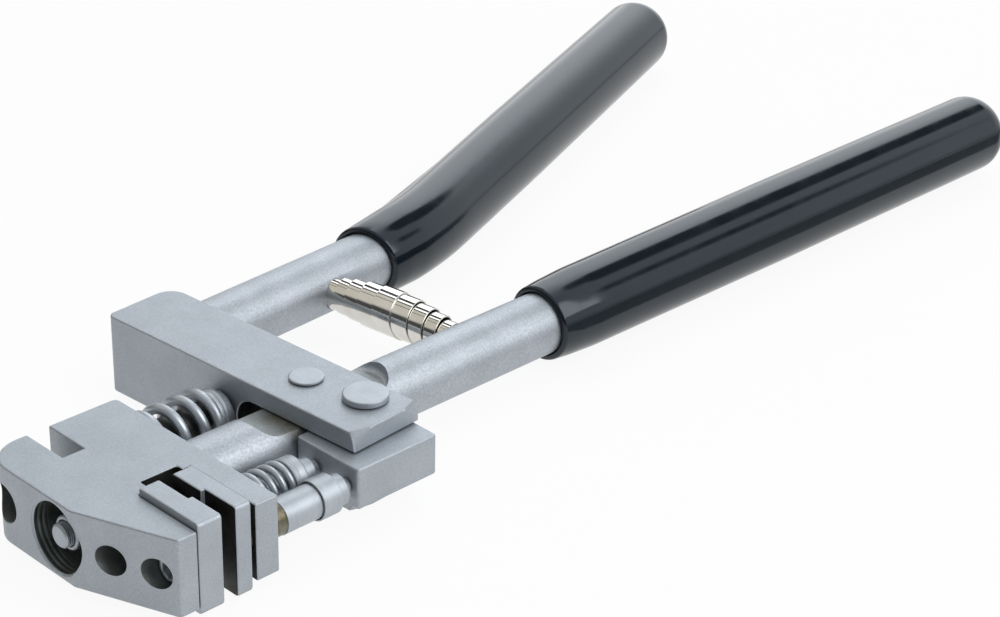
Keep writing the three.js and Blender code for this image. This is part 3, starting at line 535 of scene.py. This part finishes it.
def milled_flat(low, high):
    """The cutter's sweep for one flat on the bar: round ends, and a small radius at its floor."""
    left, right, front, rear, end_radius, floor_radius = -9.4, 7.8, -20.9, 20.3, 8.5, 1.4
    sweep = billet("tool", left, right, front, rear, low, high)
    round_corners(sweep, lambda middle, way: abs(way.z) > 0.9, end_radius, 20)
    floor = min(abs(low), abs(high))
    return round_corners(sweep, lambda middle, way: abs(abs(middle.z - bar_z) - floor) < 0.01
                         and abs(way.z) < 0.1, floor_radius, 5)


def through_bar():
    """The bar that is both the tool's back and its fixed handle, with a spigot in the head."""
    end, chamfer, over_top = right_grip_end - 3.5, 0.8, 12
    bar = turn("through_bar", [
        (0, spigot_front), (spigot_radius, spigot_front), (spigot_radius, bar_shoulder),
        (bar_radius, bar_shoulder), (bar_radius, end - chamfer), (bar_radius - chamfer, end),
        (0, end)], sides=128)
    take_away(bar, milled_flat(flat_half, over_top), milled_flat(-over_top, -flat_half))
    take_away(bar, bore_down(-bar_x, 0, pivot_radius + seat_gap),
              drill(0, spigot_front - 0.9, stud_end + 0.3, stud_radius + seat_gap), volute_seat(True))
    shade(bar, 30)
    line_walls(bar, blasted_bar, milled_flat_finish, on_a_flat)
    finish_piece(bar, blasted_bar, "frame", "main_bar")


def on_a_flat(middle, normal):
    """True for the floors of the two flats."""
    return abs(normal.z) > 0.9 and abs(abs(middle.z) - flat_half) < 0.1 and abs(middle.y) < 22


def nose_screw():
    """The stud in the nose bore, with three thread marks, and the sleeve round it."""
    face, edge, sleeve_end = -72.2, -70.2, spigot_front - seat_gap
    mark_depth, mark_half = 0.18, 0.12
    outline = [(0, face), (stud_radius - 0.5, face, 0.3), (stud_radius, face + 0.5, 0.2)]
    for mark in (face + 0.75, face + 1.25, face + 1.75):
        outline += [(stud_radius, mark - mark_half), (stud_radius - mark_depth, mark),
                    (stud_radius, mark + mark_half)]
    stud = turn("nose_screw", [*outline, (stud_radius, stud_end), (0, stud_end)])
    finish_piece(stud, turned_zinc, "frame", "neck_screw")
    inner, outer = 3.2, 4.1
    sleeve = turn("nose_sleeve", [
        (inner, edge), (outer - 0.35, edge, 0.2), (outer, edge + 0.4, 0.2), (outer, sleeve_end),
        (inner, sleeve_end), (inner, edge)])
    finish_piece(sleeve, turned_zinc, "frame", "neck_sleeve")


# Flanging dies and the screws of the fixed one
def die(name, front, rear, cut_left, cut_right, cut_front, cut_rear):
    """A flat die: a block whose working face has one step, cut from the side that lies back."""
    left, right, half = 10.8, 30.7, 11.25
    body = billet(name, left, right, front, rear, -half, half)
    tall = half + 0.75
    take_away(body, billet("tool", cut_left, cut_right, cut_front, cut_rear, -tall, tall))
    return round_corners(body, lambda middle, way: abs(way.y) > 0.9 and middle.x > right + bar_x - 1,
                         0.9, 3)


def dies():
    """The two dies, whose steps pass each other with half a millimetre between, and the screws."""
    beyond_left, fixed_step, moving_step, beyond_right = 10.0, 20.85, 20.35, 32.0
    tip_bore = rod_tip_radius + seat_gap
    face, step, back = -53.2, -52.1, -58.5
    fixed = die("fixed_die", back, step, beyond_left, fixed_step, face, step + 1)
    take_away(fixed, *[drill(x, back - 0.5, -55.4, tip_bore) for x in (spring_rod_x, guide_rod_x)])
    break_edges(fixed, 0.35)
    # The rear working face in the gap gets the near-black lining: painted shade
    line_walls(fixed, ground_die, painted_shade_wall,
               lambda middle, normal: normal.y > 0.9 and middle.y > face - 0.8)
    finish_piece(fixed, ground_die, "frame", "fixed_flange_die")
    face, step, back = -49.6, -48.5, -44.4
    moving = die("moving_die", face, back, moving_step, beyond_right, face - 1, step)
    take_away(moving, drill(spring_rod_x, face - 0.4, back + 0.4, tip_bore),
              drill(guide_rod_x, -47.3, back + 0.4, tip_bore))
    break_edges(moving, 0.35)
    # The front working face in the gap gets the near-black lining: painted shade
    line_walls(moving, ground_die, painted_shade_wall,
               lambda middle, normal: normal.y < -0.9 and middle.y < step + 1.5)
    finish_piece(moving, ground_die, "flange_slide", "moving_flange_die")
    die_screw(spring_rod_x, -61.7, "fixed_die_screw_inner")
    die_screw(guide_rod_x, -62.8, "fixed_die_screw_outer")


def die_screw(x, face, node):
    """A socket screw from the front, which holds the fixed die."""
    head, shank, under, end = 3.3, 2.0, die_seat_front, -55.7
    socket_depth, socket_radius = 1.4, 1.73
    screw = turn(node.replace("fixed_", "") + "_turned", [
        (0, face), (head - 0.3, face, 0.2), (head, face + 0.4, 0.2), (head, under), (shank, under),
        (shank, end), (0, end)], x)
    take_away(screw, drill(x, face - 1, face + socket_depth, socket_radius, sides=6))
    shade(screw, 35)
    finish_piece(screw, turned_zinc, "frame", node)


# Punch
def punch():
    """The punch on its shank, the collar that its spring pushes, and the die's bush in the head."""
    shank, flange_radius = punch_shank_radius, 5.2
    end = punch_end(flange_radius)
    tip, shoulder, flange = -55.2, -40.2, end - 1.6
    plunger = turn("punch_and_shank", [
        (0, tip), (punch_tip_radius, tip, 0.05), (punch_tip_radius, shoulder), (shank, shoulder, 0.3),
        (shank, flange, 0.2), (flange_radius, flange, 0.2), (flange_radius, end, 0.4), (0, end)],
        punch_x)
    # The shank between the head and the flange gets the near-black lining: painted shade inside the
    # spring
    line_walls(plunger, turned_zinc, painted_shade_wall,
               lambda middle, normal: head_rear - 3 < middle.y < flange - 1)
    finish_piece(plunger, turned_zinc, "punch_slide", "punch_plunger")
    inner, outer, rear = shank + seat_gap, 6.3, flange - seat_gap
    cup = rear - 2.6
    collar = turn("punch_spring_cup", [
        (inner, cup), (outer, cup, 0.3), (outer, cup + 1.1, 0.1), (outer - 0.2, cup + 1.3, 0.1),
        (outer, cup + 1.5, 0.1), (outer, rear, 0.3), (inner, rear), (inner, cup)], punch_x)
    finish_piece(collar, turned_zinc, "punch_slide", "punch_collar")
    inner, outer, front, rear = 2.65, exit_bore_radius - seat_gap, -66.4, notch_front
    bush = turn("die_bush", [
        (inner, front), (outer, front, 0.3), (outer, rear, 0.3), (inner, rear, 0.1), (inner, front)],
        punch_x)
    finish_piece(bush, ground_die, "frame", "punch_die_bush")
    punch_spring(head_rear + seat_gap, cup - seat_gap)


def punch_end(flange_radius):
    """Where the punch's flange meets the crosshead's slanting front face, less a gap."""
    across = punch_x - flange_radius
    return (math.sin(rest_angle) * (across + bar_x) + yoke_front) / math.cos(rest_angle) - seat_gap


# Springs
def wound_wire(name, x, front, rear, outer, wire, open_turns, lag):
    """A compression spring: one wire on a long smooth curve, its ends closed and ground flat.
    Its end loops lie half a turn round with a small gap, and lag turns it about its axis."""
    half_turn, closed_gap, steps_per_turn, run_on = 0.5, 0.6, 40, 8
    first, last = front + wire / 2, rear - wire / 2
    closed_rise = half_turn * (wire + closed_gap)
    open_rise = last - first - 2 * closed_rise
    turns = open_turns + 2 * half_turn
    radius = (outer - wire) / 2
    steps = int(turns * steps_per_turn)
    points = []
    for step in range(-run_on, steps + run_on + 1):
        turned = turns * step / steps
        early = min(turned, half_turn) / half_turn
        opened = min(1, max(0, (turned - half_turn) / open_turns))
        late = max(0, turned - half_turn - open_turns) / half_turn
        place = first + closed_rise * (early + late) + open_rise * opened
        angle = 2 * math.pi * (turned - lag)
        points.append(spot(x + radius * math.sin(angle), place, radius * math.cos(angle)))
    line = bpy.data.curves.new(name, "CURVE")
    line.dimensions, line.bevel_depth, line.bevel_resolution = "3D", wire / 2 * MM, 7
    line.use_fill_caps = True
    path = line.splines.new("POLY")
    path.points.add(len(points) - 1)
    for point, place in zip(path.points, points):
        point.co = (*place, 1)
    piece = bpy.data.objects.new(name, line)
    bpy.context.scene.collection.objects.link(piece)
    hold(piece)
    bpy.ops.object.convert(target="MESH")
    piece = bpy.context.active_object
    for place, way in ((front, -1), (rear, 1)):
        open_up(piece, "FACE")
        bpy.ops.mesh.bisect(plane_co=spot(x, place), plane_no=(0, way, 0), use_fill=True,
                            clear_outer=True)
        lay_down()
    shade(piece, 40)
    return piece


def press_shorter(spring, joint, travel, x, front, rear):
    """Gives the spring a mesh of its own; nothing here shortens it as the joint slides."""
    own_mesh(spring)


def volute_spring():
    """A strip wound so that each turn slides under the next: widest near the middle, and a little
    bowed between its sockets."""
    left, right = volute_line()
    way = (right - left).normalized()
    start, run = left + way * volute_start, (right - left).length - 2 * volute_start
    turns, steps_per_turn, half_thick, ease = 9.0, 72, 0.21, 0.12
    side = Vector((0, 0, 1))
    third = way.cross(side)
    small, large, swell_curve = 3.7, 6.0 - half_thick, 1.15
    widest, phase, bow = 0.47, 0.67, 1.1
    pitch_share, overlap, end_share, least_half_width = 0.25, 1.12, 0.4, 0.3
    pitch = run / (turns + 2 * end_share)
    steps = int(turns * steps_per_turn)
    verts, faces = [], []
    for step in range(steps + 1):
        share = step / steps
        angle = 2 * math.pi * (share * turns + phase)
        swing = pitch_share * math.sin(2 * math.pi * share) / (2 * math.pi)
        along = pitch * end_share + pitch * turns * (share - swing)
        local_pitch = pitch * (1 - pitch_share * math.cos(2 * math.pi * share))
        swell = share / widest if share < widest else (1 - share) / (1 - widest)
        radius = small + (large - small) * (1 - (1 - swell) ** swell_curve)
        middle = start + way * along + side * bow * math.sin(math.pi * share)
        out = side * math.cos(angle) + third * math.sin(angle)
        wide = max(least_half_width, min(local_pitch * overlap, 2 * along, 2 * (run - along)) / 2)
        section = [(half_thick, ease - wide), (half_thick, wide - ease), (half_thick - ease, wide),
                   (ease - half_thick, wide), (-half_thick, wide - ease), (-half_thick, ease - wide),
                   (ease - half_thick, -wide), (half_thick - ease, -wide)]
        for across, offset in section:
            verts.append((middle + way * offset + out * (radius + across)) * MM)
    corners = len(section)
    for ring in range(0, steps * corners, corners):
        for corner in range(corners):
            here, after = ring + corner, ring + (corner + 1) % corners
            faces.append((here, after, after + corners, here + corners))
    faces.append(tuple(reversed(range(corners))))
    faces.append(tuple(range(corners * steps, corners * (steps + 1))))
    mesh = bpy.data.meshes.new("volute_strip")
    mesh.from_pydata(verts, [], faces)
    piece = bpy.data.objects.new("volute_strip", mesh)
    bpy.context.scene.collection.objects.link(piece)
    open_up(piece, "FACE")
    bpy.ops.mesh.normals_make_consistent(inside=False)
    lay_down()
    shade(piece, 50)
    piece.data.materials.append(nickel)
    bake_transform(piece)
    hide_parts("handle_spring")


def punch_spring(front, rear):
    """A spring of thick wire between the head and the collar."""
    spring = wound_wire("punch_spring_wire", punch_x, front, rear,
                        outer=15.4, wire=2.6, open_turns=2.4, lag=0.33)
    finish_piece(spring, spring_wire, "frame", "punch_spring")
    press_shorter(spring, "punch_press", punch_travel, punch_x, front, rear)


# Rods that push the moving die
def rod_outline(tip, rod, steps, cap):
    """A rod: thin in the die, full in the head, with its own steps, and a cap at its rear end."""
    thin = rod_tip_radius
    return [(0, tip), (thin, tip), (thin, rod_bore_front), (rod, rod_bore_front), *steps,
            (cap, cap_end, 0.6), (thin, cap_end, 0.3), (thin, rod_end, 0.5), (0, rod_end)]


def rods():
    """The plunger with its ribbed sleeve and spring, and the guide rod with its collar."""
    rod, cap, cap_front = spring_rod_radius, 3.4, cap_end - 3.4
    plunger = turn("spring_rod", rod_outline(-48.6, rod, [(rod, cap_front), (cap, cap_front, 0.15)],
                                             cap), spring_rod_x)
    finish_piece(plunger, turned_zinc, "flange_slide", "flange_plunger")
    inner, outer, front, rear = rod + seat_gap, 5.2, cap_end - 7.4, cap_end - 3.8
    sleeve = turn("ribbed_sleeve", [
        (inner, front), (outer - 0.2, front, 0.15), (outer, front + 0.4, 0.1),
        (outer - 0.15, front + 0.7, 0.1), (outer, front + 1.1, 0.1), (outer - 0.12, front + 1.4, 0.1),
        (outer, front + 1.8, 0.1), (outer, rear, 0.5), (inner, rear), (inner, front)], spring_rod_x)
    finish_piece(sleeve, turned_zinc, "flange_slide", "plunger_sleeve")
    seats = (head_rear + seat_gap, front - seat_gap)
    rod, land, cap = guide_rod_radius, 4.15, 3.8
    shoulder, cap_front = head_rear + 3.6, cap_end - 2.7
    steps = [(rod, shoulder), (land, shoulder, 0.1), (land, cap_front), (cap, cap_front, 0.1)]
    guide = turn("guide_rod_turned", rod_outline(-47.0, rod, steps, cap), guide_rod_x)
    # The front end by the head goes dark brown: oil, and painted shade
    line_walls(guide, turned_zinc, oiled_rod_with_painted_shade, lambda middle, normal: middle.y < shoulder - 0.05)
    finish_piece(guide, turned_zinc, "flange_slide", "guide_rod")
    inner, outer, front, rear = land + seat_gap, 4.8, cap_end - 8.2, cap_end - 3
    collar = turn("guide_stop", [
        (inner, front), (outer, front, 0.2), (outer, rear, 0.25), (inner, rear), (inner, front)],
        guide_rod_x)
    finish_piece(collar, turned_zinc, "flange_slide", "guide_collar")
    spring = wound_wire("die_spring", spring_rod_x, *seats,
                        outer=11.0, wire=1.6, open_turns=3.8, lag=0.67)
    finish_piece(spring, spring_wire, "frame", "flange_spring")
    press_shorter(spring, "flange_press", flange_travel, spring_rod_x, *seats)


# Crosshead, its pins and the pusher block
def crosshead():
    """The fork: a bar with a round-ended slot, its right end turned to a taper about the pivot."""
    body = billet("crosshead_body", yoke_left, yoke_right, yoke_front, yoke_rear,
                  -yoke_half, yoke_half)
    round_corners(body, upright_edge(yoke_left, yoke_rear), 5.0, 12)
    round_corners(body, upright_edge(yoke_left, yoke_front), 2.0, 6)
    slot_left, before, behind = slot_half - slot_reach, yoke_front - 1, yoke_rear + 1
    opening = billet("tool", slot_left, yoke_right + 1, before, behind, -slot_half, slot_half)
    round_end = drill(slot_left, before, behind, slot_half)
    take_away(body, opening, round_end)
    break_edges(body, 0.4)
    take_away(body, beyond_the_taper(), bore_down(0, 0, pivot_radius + seat_gap),
              bore_down(block_pin_x, block_pin_y, block_pin_radius + seat_gap),
              bore(lever_x, yoke_rear, spigot_end - seat_gap, spigot_radius + seat_gap))
    shade(body, 35)
    # The slot's inner faces get the near-black lining: painted shade
    line_walls(body, blasted, painted_shade_wall, in_the_slot)
    with_the_crosshead(body)
    finish_piece(body, blasted, "lever", "crosshead")


def beyond_the_taper():
    """What the lathe takes off the fork's right end: all beyond a cone about the pivot."""
    at_the_slot, at_the_top, reach, over = 28.4, 26.5, 37.1, yoke_half + 1
    past_the_top = at_the_top - (at_the_slot - at_the_top) / (yoke_half - slot_half)
    corners = billet("tool", 0, reach, -reach, reach, -over + 0.5, over - 0.5)
    kept = turn("tool", [(0, -over), (past_the_top, -over), (at_the_slot, -slot_half),
                         (at_the_slot, slot_half), (past_the_top, over), (0, over)], sides=256)
    return take_away(corners, stand_up(kept, 0, 0))


def in_the_slot(middle, normal):
    """True for the slot's inner faces, short of its mouth and of the front and rear faces."""
    left, mouth = -13, 22
    return (abs(middle.z) < slot_half + 0.1 and yoke_front + 0.5 < middle.y < yoke_rear - 0.5
            and left < middle.x < mouth and normal.dot(Vector((middle.x, 0, middle.z))) < 0.01)


def headed_pin(name, x, y, shank, head, height):
    """An upright pin with a low head above and below the fork."""
    under = yoke_half + seat_gap
    top = under + height
    outline = [(0, -top), (head, -top, 0.4), (head, -under, 0.1), (shank, -under), (shank, under),
               (head, under, 0.1), (head, top, 0.4), (0, top)]
    return stand_up(turn(name, outline), x, y)


def pins_and_pusher():
    """The two headed pins, and the block that the fork carries square to the rods."""
    pivot = headed_pin("pivot_pin_turned", -bar_x, 0, pivot_radius, head=4.15, height=0.55)
    finish_piece(pivot, turned_zinc, "frame", "pivot_pin")
    pin = headed_pin("block_pin_turned", block_pin_x, block_pin_y, block_pin_radius,
                     head=5.4, height=1.4)
    finish_piece(with_the_crosshead(pin), turned_zinc, "lever", "block_pin")
    left, right, rear, half = 8.4, 29.2, 10.8, slot_half - seat_gap
    block = billet("pusher", left, right, rod_end + seat_gap, rear, -half, half)
    place = Matrix.Rotation(rest_angle, 2) @ Vector((block_pin_x, block_pin_y))
    round_corners(block, lambda middle, way: abs(way.z) > 0.9, 0.8, 4)
    break_edges(block, 0.5)
    take_away(block, bore_down(place.x - bar_x, place.y, block_pin_radius + seat_gap))
    shade(block, 35)
    finish_piece(block, blasted, "pusher", "pusher_block")


# Swinging handle
def lever_point(distance):
    """A place on the swinging handle's centre line, and the way that it runs there."""
    reach = bend_radius * math.tan(bend_angle / 2)
    start = bend_place - reach
    turned_by = min(max((distance - start) / bend_radius, 0), bend_angle)
    beyond = max(0, distance - start - bend_radius * bend_angle)
    way = Vector((-math.sin(turned_by), math.cos(turned_by), 0))
    point = Vector((lever_x - bend_radius * (1 - math.cos(turned_by)),
                    min(distance, start) + bend_radius * math.sin(turned_by), 0))
    return point + way * beyond, way


def bend_to_the_lever(piece):
    """Carries a piece made straight along the bar onto the swinging handle's bent line."""
    for vertex in piece.data.vertices:
        local = vertex.co / MM - Vector((bar_x, 0, bar_z))
        point, way = lever_point(local.y)
        aside = Vector((way.y, -way.x, 0))
        vertex.co = spot(*(point + aside * local.x + Vector((0, 0, local.z))))
    return with_the_crosshead(piece)


def stations(start, end):
    """Places along the bend where the handle needs a ring, about 2.5 mm apart."""
    stride = 2.5
    reach = bend_radius * math.tan(bend_angle / 2)
    first, last = bend_place - reach, bend_place - reach + bend_radius * bend_angle
    count = int((last - first) / stride)
    places = [first + (last - first) * step / count for step in range(count + 1)]
    return [place for place in places if start < place < end]


def left_bar():
    """The swinging handle's bent bar, with a spigot in the crosshead."""
    shoulder, end, chamfer = yoke_rear + seat_gap, left_grip_end - 3.5, 0.8
    outline = [(0, spigot_end), (spigot_radius, spigot_end), (spigot_radius, shoulder),
               (bar_radius, shoulder, 0.8)]
    outline += [(bar_radius, place) for place in stations(shoulder, end)]
    outline += [(bar_radius, end - chamfer), (bar_radius - chamfer, end), (0, end)]
    bar = bend_to_the_lever(turn("swinging_bar", outline, sides=128))
    take_away(bar, volute_seat(False))
    shade(bar, 35)
    finish_piece(bar, blasted_bar, "lever", "left_bar")


def grip_outline(start, end):
    """The dipped skin: a thin lip, a quick taper, a slow swell, and a domed end."""
    lip, mouth, full, inner = 9.75, 10.6, 11.2, bar_radius + seat_gap
    floor, taper, swell, dome, dome_steps = end - 3.2, 12, 90.0, 8.5, 12
    outline = [(0, floor), (inner, floor), (inner, start + 0.2),
               (inner + 0.2, start, 0.1), (lip - 0.5, start, 0.4),
               (lip, start + 0.5, 0.4), (lip + 0.45, start + 4.5, 2.0), (mouth, start + taper)]
    rings = [start + 12.5 * step for step in range(2, 15)]
    bend_rings = stations(start + taper + 0.2, end - dome - 1.5)
    for place in sorted({start + swell, *bend_rings, *rings}):
        share = min(1, (place - start) / swell)
        outline.append((mouth + (full - mouth) * share, place))
    for step in range(dome_steps + 1):
        angle = math.pi / 2 * step / dome_steps
        outline.append((full - dome * (1 - math.cos(angle)), end - dome * (1 - math.sin(angle))))
    return [*outline, (0, end)]


def slant_the_mouth(piece, start):
    """The handle was dipped along its outer run, so the skin's mouth stands aslant on the bar."""
    fade = 26.0
    for vertex in piece.data.vertices:
        across, place = vertex.co.x / MM - bar_x, vertex.co.y / MM
        share = max(0.0, 1 - (place - start) / fade)
        vertex.co.y += math.tan(grip_slant) * across * share ** 1.5 * MM
    return piece


def grips():
    """The black skins on both handles, the left one aslant at its mouth and bent with its bar."""
    outline = grip_outline(right_grip_start, right_grip_end)
    right = turn("right_grip_skin", outline, sides=128, smooth=60)
    finish_piece(right, vinyl, "frame", "right_grip")
    outline = grip_outline(left_grip_start, left_grip_end)
    skin = turn("left_grip_skin", outline, sides=128, smooth=60)
    left = bend_to_the_lever(slant_the_mouth(skin, left_grip_start))
    shade(left, 60)
    finish_piece(left, vinyl, "lever", "left_grip")


# Camera, floor and light
floor_z = -0.00115


def camera():
    """Stands where the photograph was taken from."""
    lens = bpy.data.cameras.new("photo_view")
    lens.lens, lens.sensor_width = 88.344, 36.0
    lens.clip_start, lens.clip_end = 0.05, 20.0
    view = bpy.data.objects.new("photo_view", lens)
    bpy.context.scene.collection.objects.link(view)
    right = (0.70169, 0.71221, 0.01996)
    up = (-0.33805, 0.30813, 0.88925)
    back = (0.62718, -0.63073, 0.45698)
    turn_to = Matrix((right, up, back)).transposed().to_quaternion()
    view.rotation_mode = "QUATERNION"
    view.rotation_quaternion = turn_to.normalized()
    view.location = (0.38039, -0.31976, 0.29489)
    bpy.context.scene.camera = view


def seen_white(tree, straight, mirrored):
    """How much of its white the floor shows: to the camera, and in metal and glass."""
    rays = put(tree, "LightPath")
    mirror = put(tree, "Math", {0: rays.outputs["Is Glossy Ray"],
                 1: rays.outputs["Is Transmission Ray"]}, operation="MAXIMUM")
    dimmed = put(tree, "Math", {0: mirror, 1: mirrored}, operation="MULTIPLY")
    return put(tree, "Math", {0: rays.outputs["Is Camera Ray"], 1: straight, 2: dimmed},
               operation="MULTIPLY_ADD")


def by_height(tree, height, levels):
    """Grey levels of the room from the floor up, as (height, level) with height from -1 to 1."""
    share = put(tree, "MapRange", {"Value": height, "From Min": -1.0, "From Max": 1.0})
    walls = put(tree, "ValToRGB", {0: share})
    stops = walls.color_ramp.elements
    for (place, level), stop in zip((levels[0], levels[-1]), (stops[0], stops[1])):
        stop.position, stop.color = (place + 1) / 2, (level, level, level, 1)
    for place, level in levels[1:-1]:
        stops.new((place + 1) / 2).color = (level, level, level, 1)
    return walls


def towards(tree, sight, way, low, high):
    """Rises from 0 to 1 as the sight line turns towards a direction."""
    along = put(tree, "VectorMath", {0: sight, 1: way}, operation="DOT_PRODUCT")
    return put(tree, "MapRange", {"Value": along, "From Min": low, "From Max": high},
               interpolation_type="SMOOTHSTEP")


def studio():
    """The room: a lit pale sweep behind the work, with the gaps between its soft boxes, and the
    dark side where the camera stands."""
    world = bpy.data.worlds.new("studio")
    world.use_nodes = True
    tree = world.node_tree
    tree.nodes.clear()
    sight = put(tree, "TexCoord").outputs["Generated"]
    parts = put(tree, "SeparateXYZ", {0: sight})
    camera_side = by_height(tree, parts.outputs["Z"], [
        (-1, 0.8), (0, 0.5), (0.04, 0.08), (0.4, 0.08), (0.6, 0.45), (1, 0.7)])
    window = by_height(tree, parts.outputs["Z"], [
        (-1, 1.0), (-0.02, 1.2), (0.02, 1.75), (0.3, 1.65), (0.5, 2.25), (0.65, 2.6), (0.8, 2.4),
        (1, 1.4)])
    sweep = by_height(tree, parts.outputs["Z"], [
        (-1, 0.8), (0, 0.5), (0.08, 1.0), (0.5, 1.05), (0.65, 1.0), (1, 1.0)])
    # Over the dark side: the far side, two gaps in it, a warm wall, and dark strips on the left
    gap, warm_wall = (0.09, 0.09, 0.09, 1), (0.74, 0.7, 0.62, 1)
    far_side = blend_in(tree, towards(tree, sight, (1, 0, 0), -0.5, 0.15), window, sweep)
    layers = [(towards(tree, sight, (0, 1, 0), -0.1, 0.35), far_side),
              (towards(tree, sight, (-0.08, 0.7, 0.71), 0.972, 0.988), gap),
              (towards(tree, sight, (0.45, 0.69, 0.56), 0.987, 0.996), gap),
              (towards(tree, sight, (-0.65, -0.35, 0.67), 0.86, 0.94), warm_wall)]
    on_the_left = put(tree, "Math", {0: parts.outputs["X"], 1: -0.45}, operation="LESS_THAN")
    for place, half in ((0.38, 0.1), (0.1, 0.05), (-0.2, 0.02)):
        strip = put(tree, "Math", {0: parts.outputs["Y"], 1: place, 2: half}, operation="COMPARE")
        share = put(tree, "Math", {0: strip, 1: on_the_left}, operation="MULTIPLY")
        layers.append((share, gap))
    room = camera_side
    for share, colour in layers:
        room = blend_in(tree, share, room, colour)
    cool = put(tree, "VectorMath", {0: room, 1: (0.97, 1.0, 1.03)}, operation="MULTIPLY")
    seen = put(tree, "Background", {"Color": cool, "Strength": 1.0})
    white = put(tree, "Background", {"Color": (1, 1, 1, 1), "Strength": 1.0})
    straight = put(tree, "LightPath").outputs["Is Camera Ray"]
    both = put(tree, "MixShader", {0: straight, 1: seen, 2: white})
    put(tree, "OutputWorld", {"Surface": both})
    return world


def dark_card():
    """A grey card on the table, on the right behind the work, that only mirrors see. It draws
    the dark band along the lower half of the black grips."""
    card = lay_flat("dark_card", 0.5, (0.284, 0.345, floor_z + 0.00025))
    card.visible_camera = card.visible_diffuse = card.visible_shadow = False
    material, tree, _ = blank("grey_card")
    glow = put(tree, "Emission", {"Color": (0.3, 0.3, 0.3, 1), "Strength": 1.0})
    put(tree, "OutputMaterial", {"Surface": glow})
    card.data.materials.append(material)


def lay_flat(name, size, place):
    """A square sheet, in metres."""
    lay_down()
    bpy.ops.mesh.primitive_plane_add(size=size, location=place)
    return name_it(name)


def pale_floor():
    """White to the eye and in mirrors, with the work's soft shadow on it."""
    floor = lay_flat("floor", 14, (0, 0, floor_z))
    material, tree, _ = blank("pale_floor")
    matt = put(tree, "BsdfDiffuse", {"Color": tint("#e6e6e6")})
    glow = put(tree, "Emission", {"Color": (1, 1, 1, 1), "Strength": 1.0})
    white = seen_white(tree, 0.92, 0.8)
    both = put(tree, "MixShader", {0: white, 1: matt, 2: glow})
    put(tree, "OutputMaterial", {"Surface": both})
    floor.data.materials.append(material)


def soft_box(name, place, size, watts, mirrored):
    """A square lamp that faces the work, and shows in the metal or not."""
    lamp = bpy.data.lights.new(name, "AREA")
    lamp.shape, lamp.size, lamp.energy = "SQUARE", size, watts
    light = bpy.data.objects.new(name, lamp)
    bpy.context.scene.collection.objects.link(light)
    light.location = place
    light.visible_glossy = mirrored
    aim = Vector((0, 0.05, 0)) - Vector(place)
    light.rotation_euler = aim.to_track_quat("-Z", "Y").to_euler()


def floor_and_light():
    """All that stands round the work: the floor, the card, the room and two lamps."""
    pale_floor()
    dark_card()
    bpy.context.scene.world = studio()
    soft_box("soft_box_right", (1.15, 0.48, 1.0), size=1.1, watts=10.0, mirrored=True)
    soft_box("soft_box_over", (-0.2, 0.1, 1.5), size=1.2, watts=2.0, mirrored=False)
    bpy.context.scene.view_settings.view_transform = "Standard"


camera()
floor_and_light()
head_block()
through_bar()
nose_screw()
dies()
punch()
rods()
crosshead()
pins_and_pusher()
left_bar()
grips()
volute_spring()
lay_down()
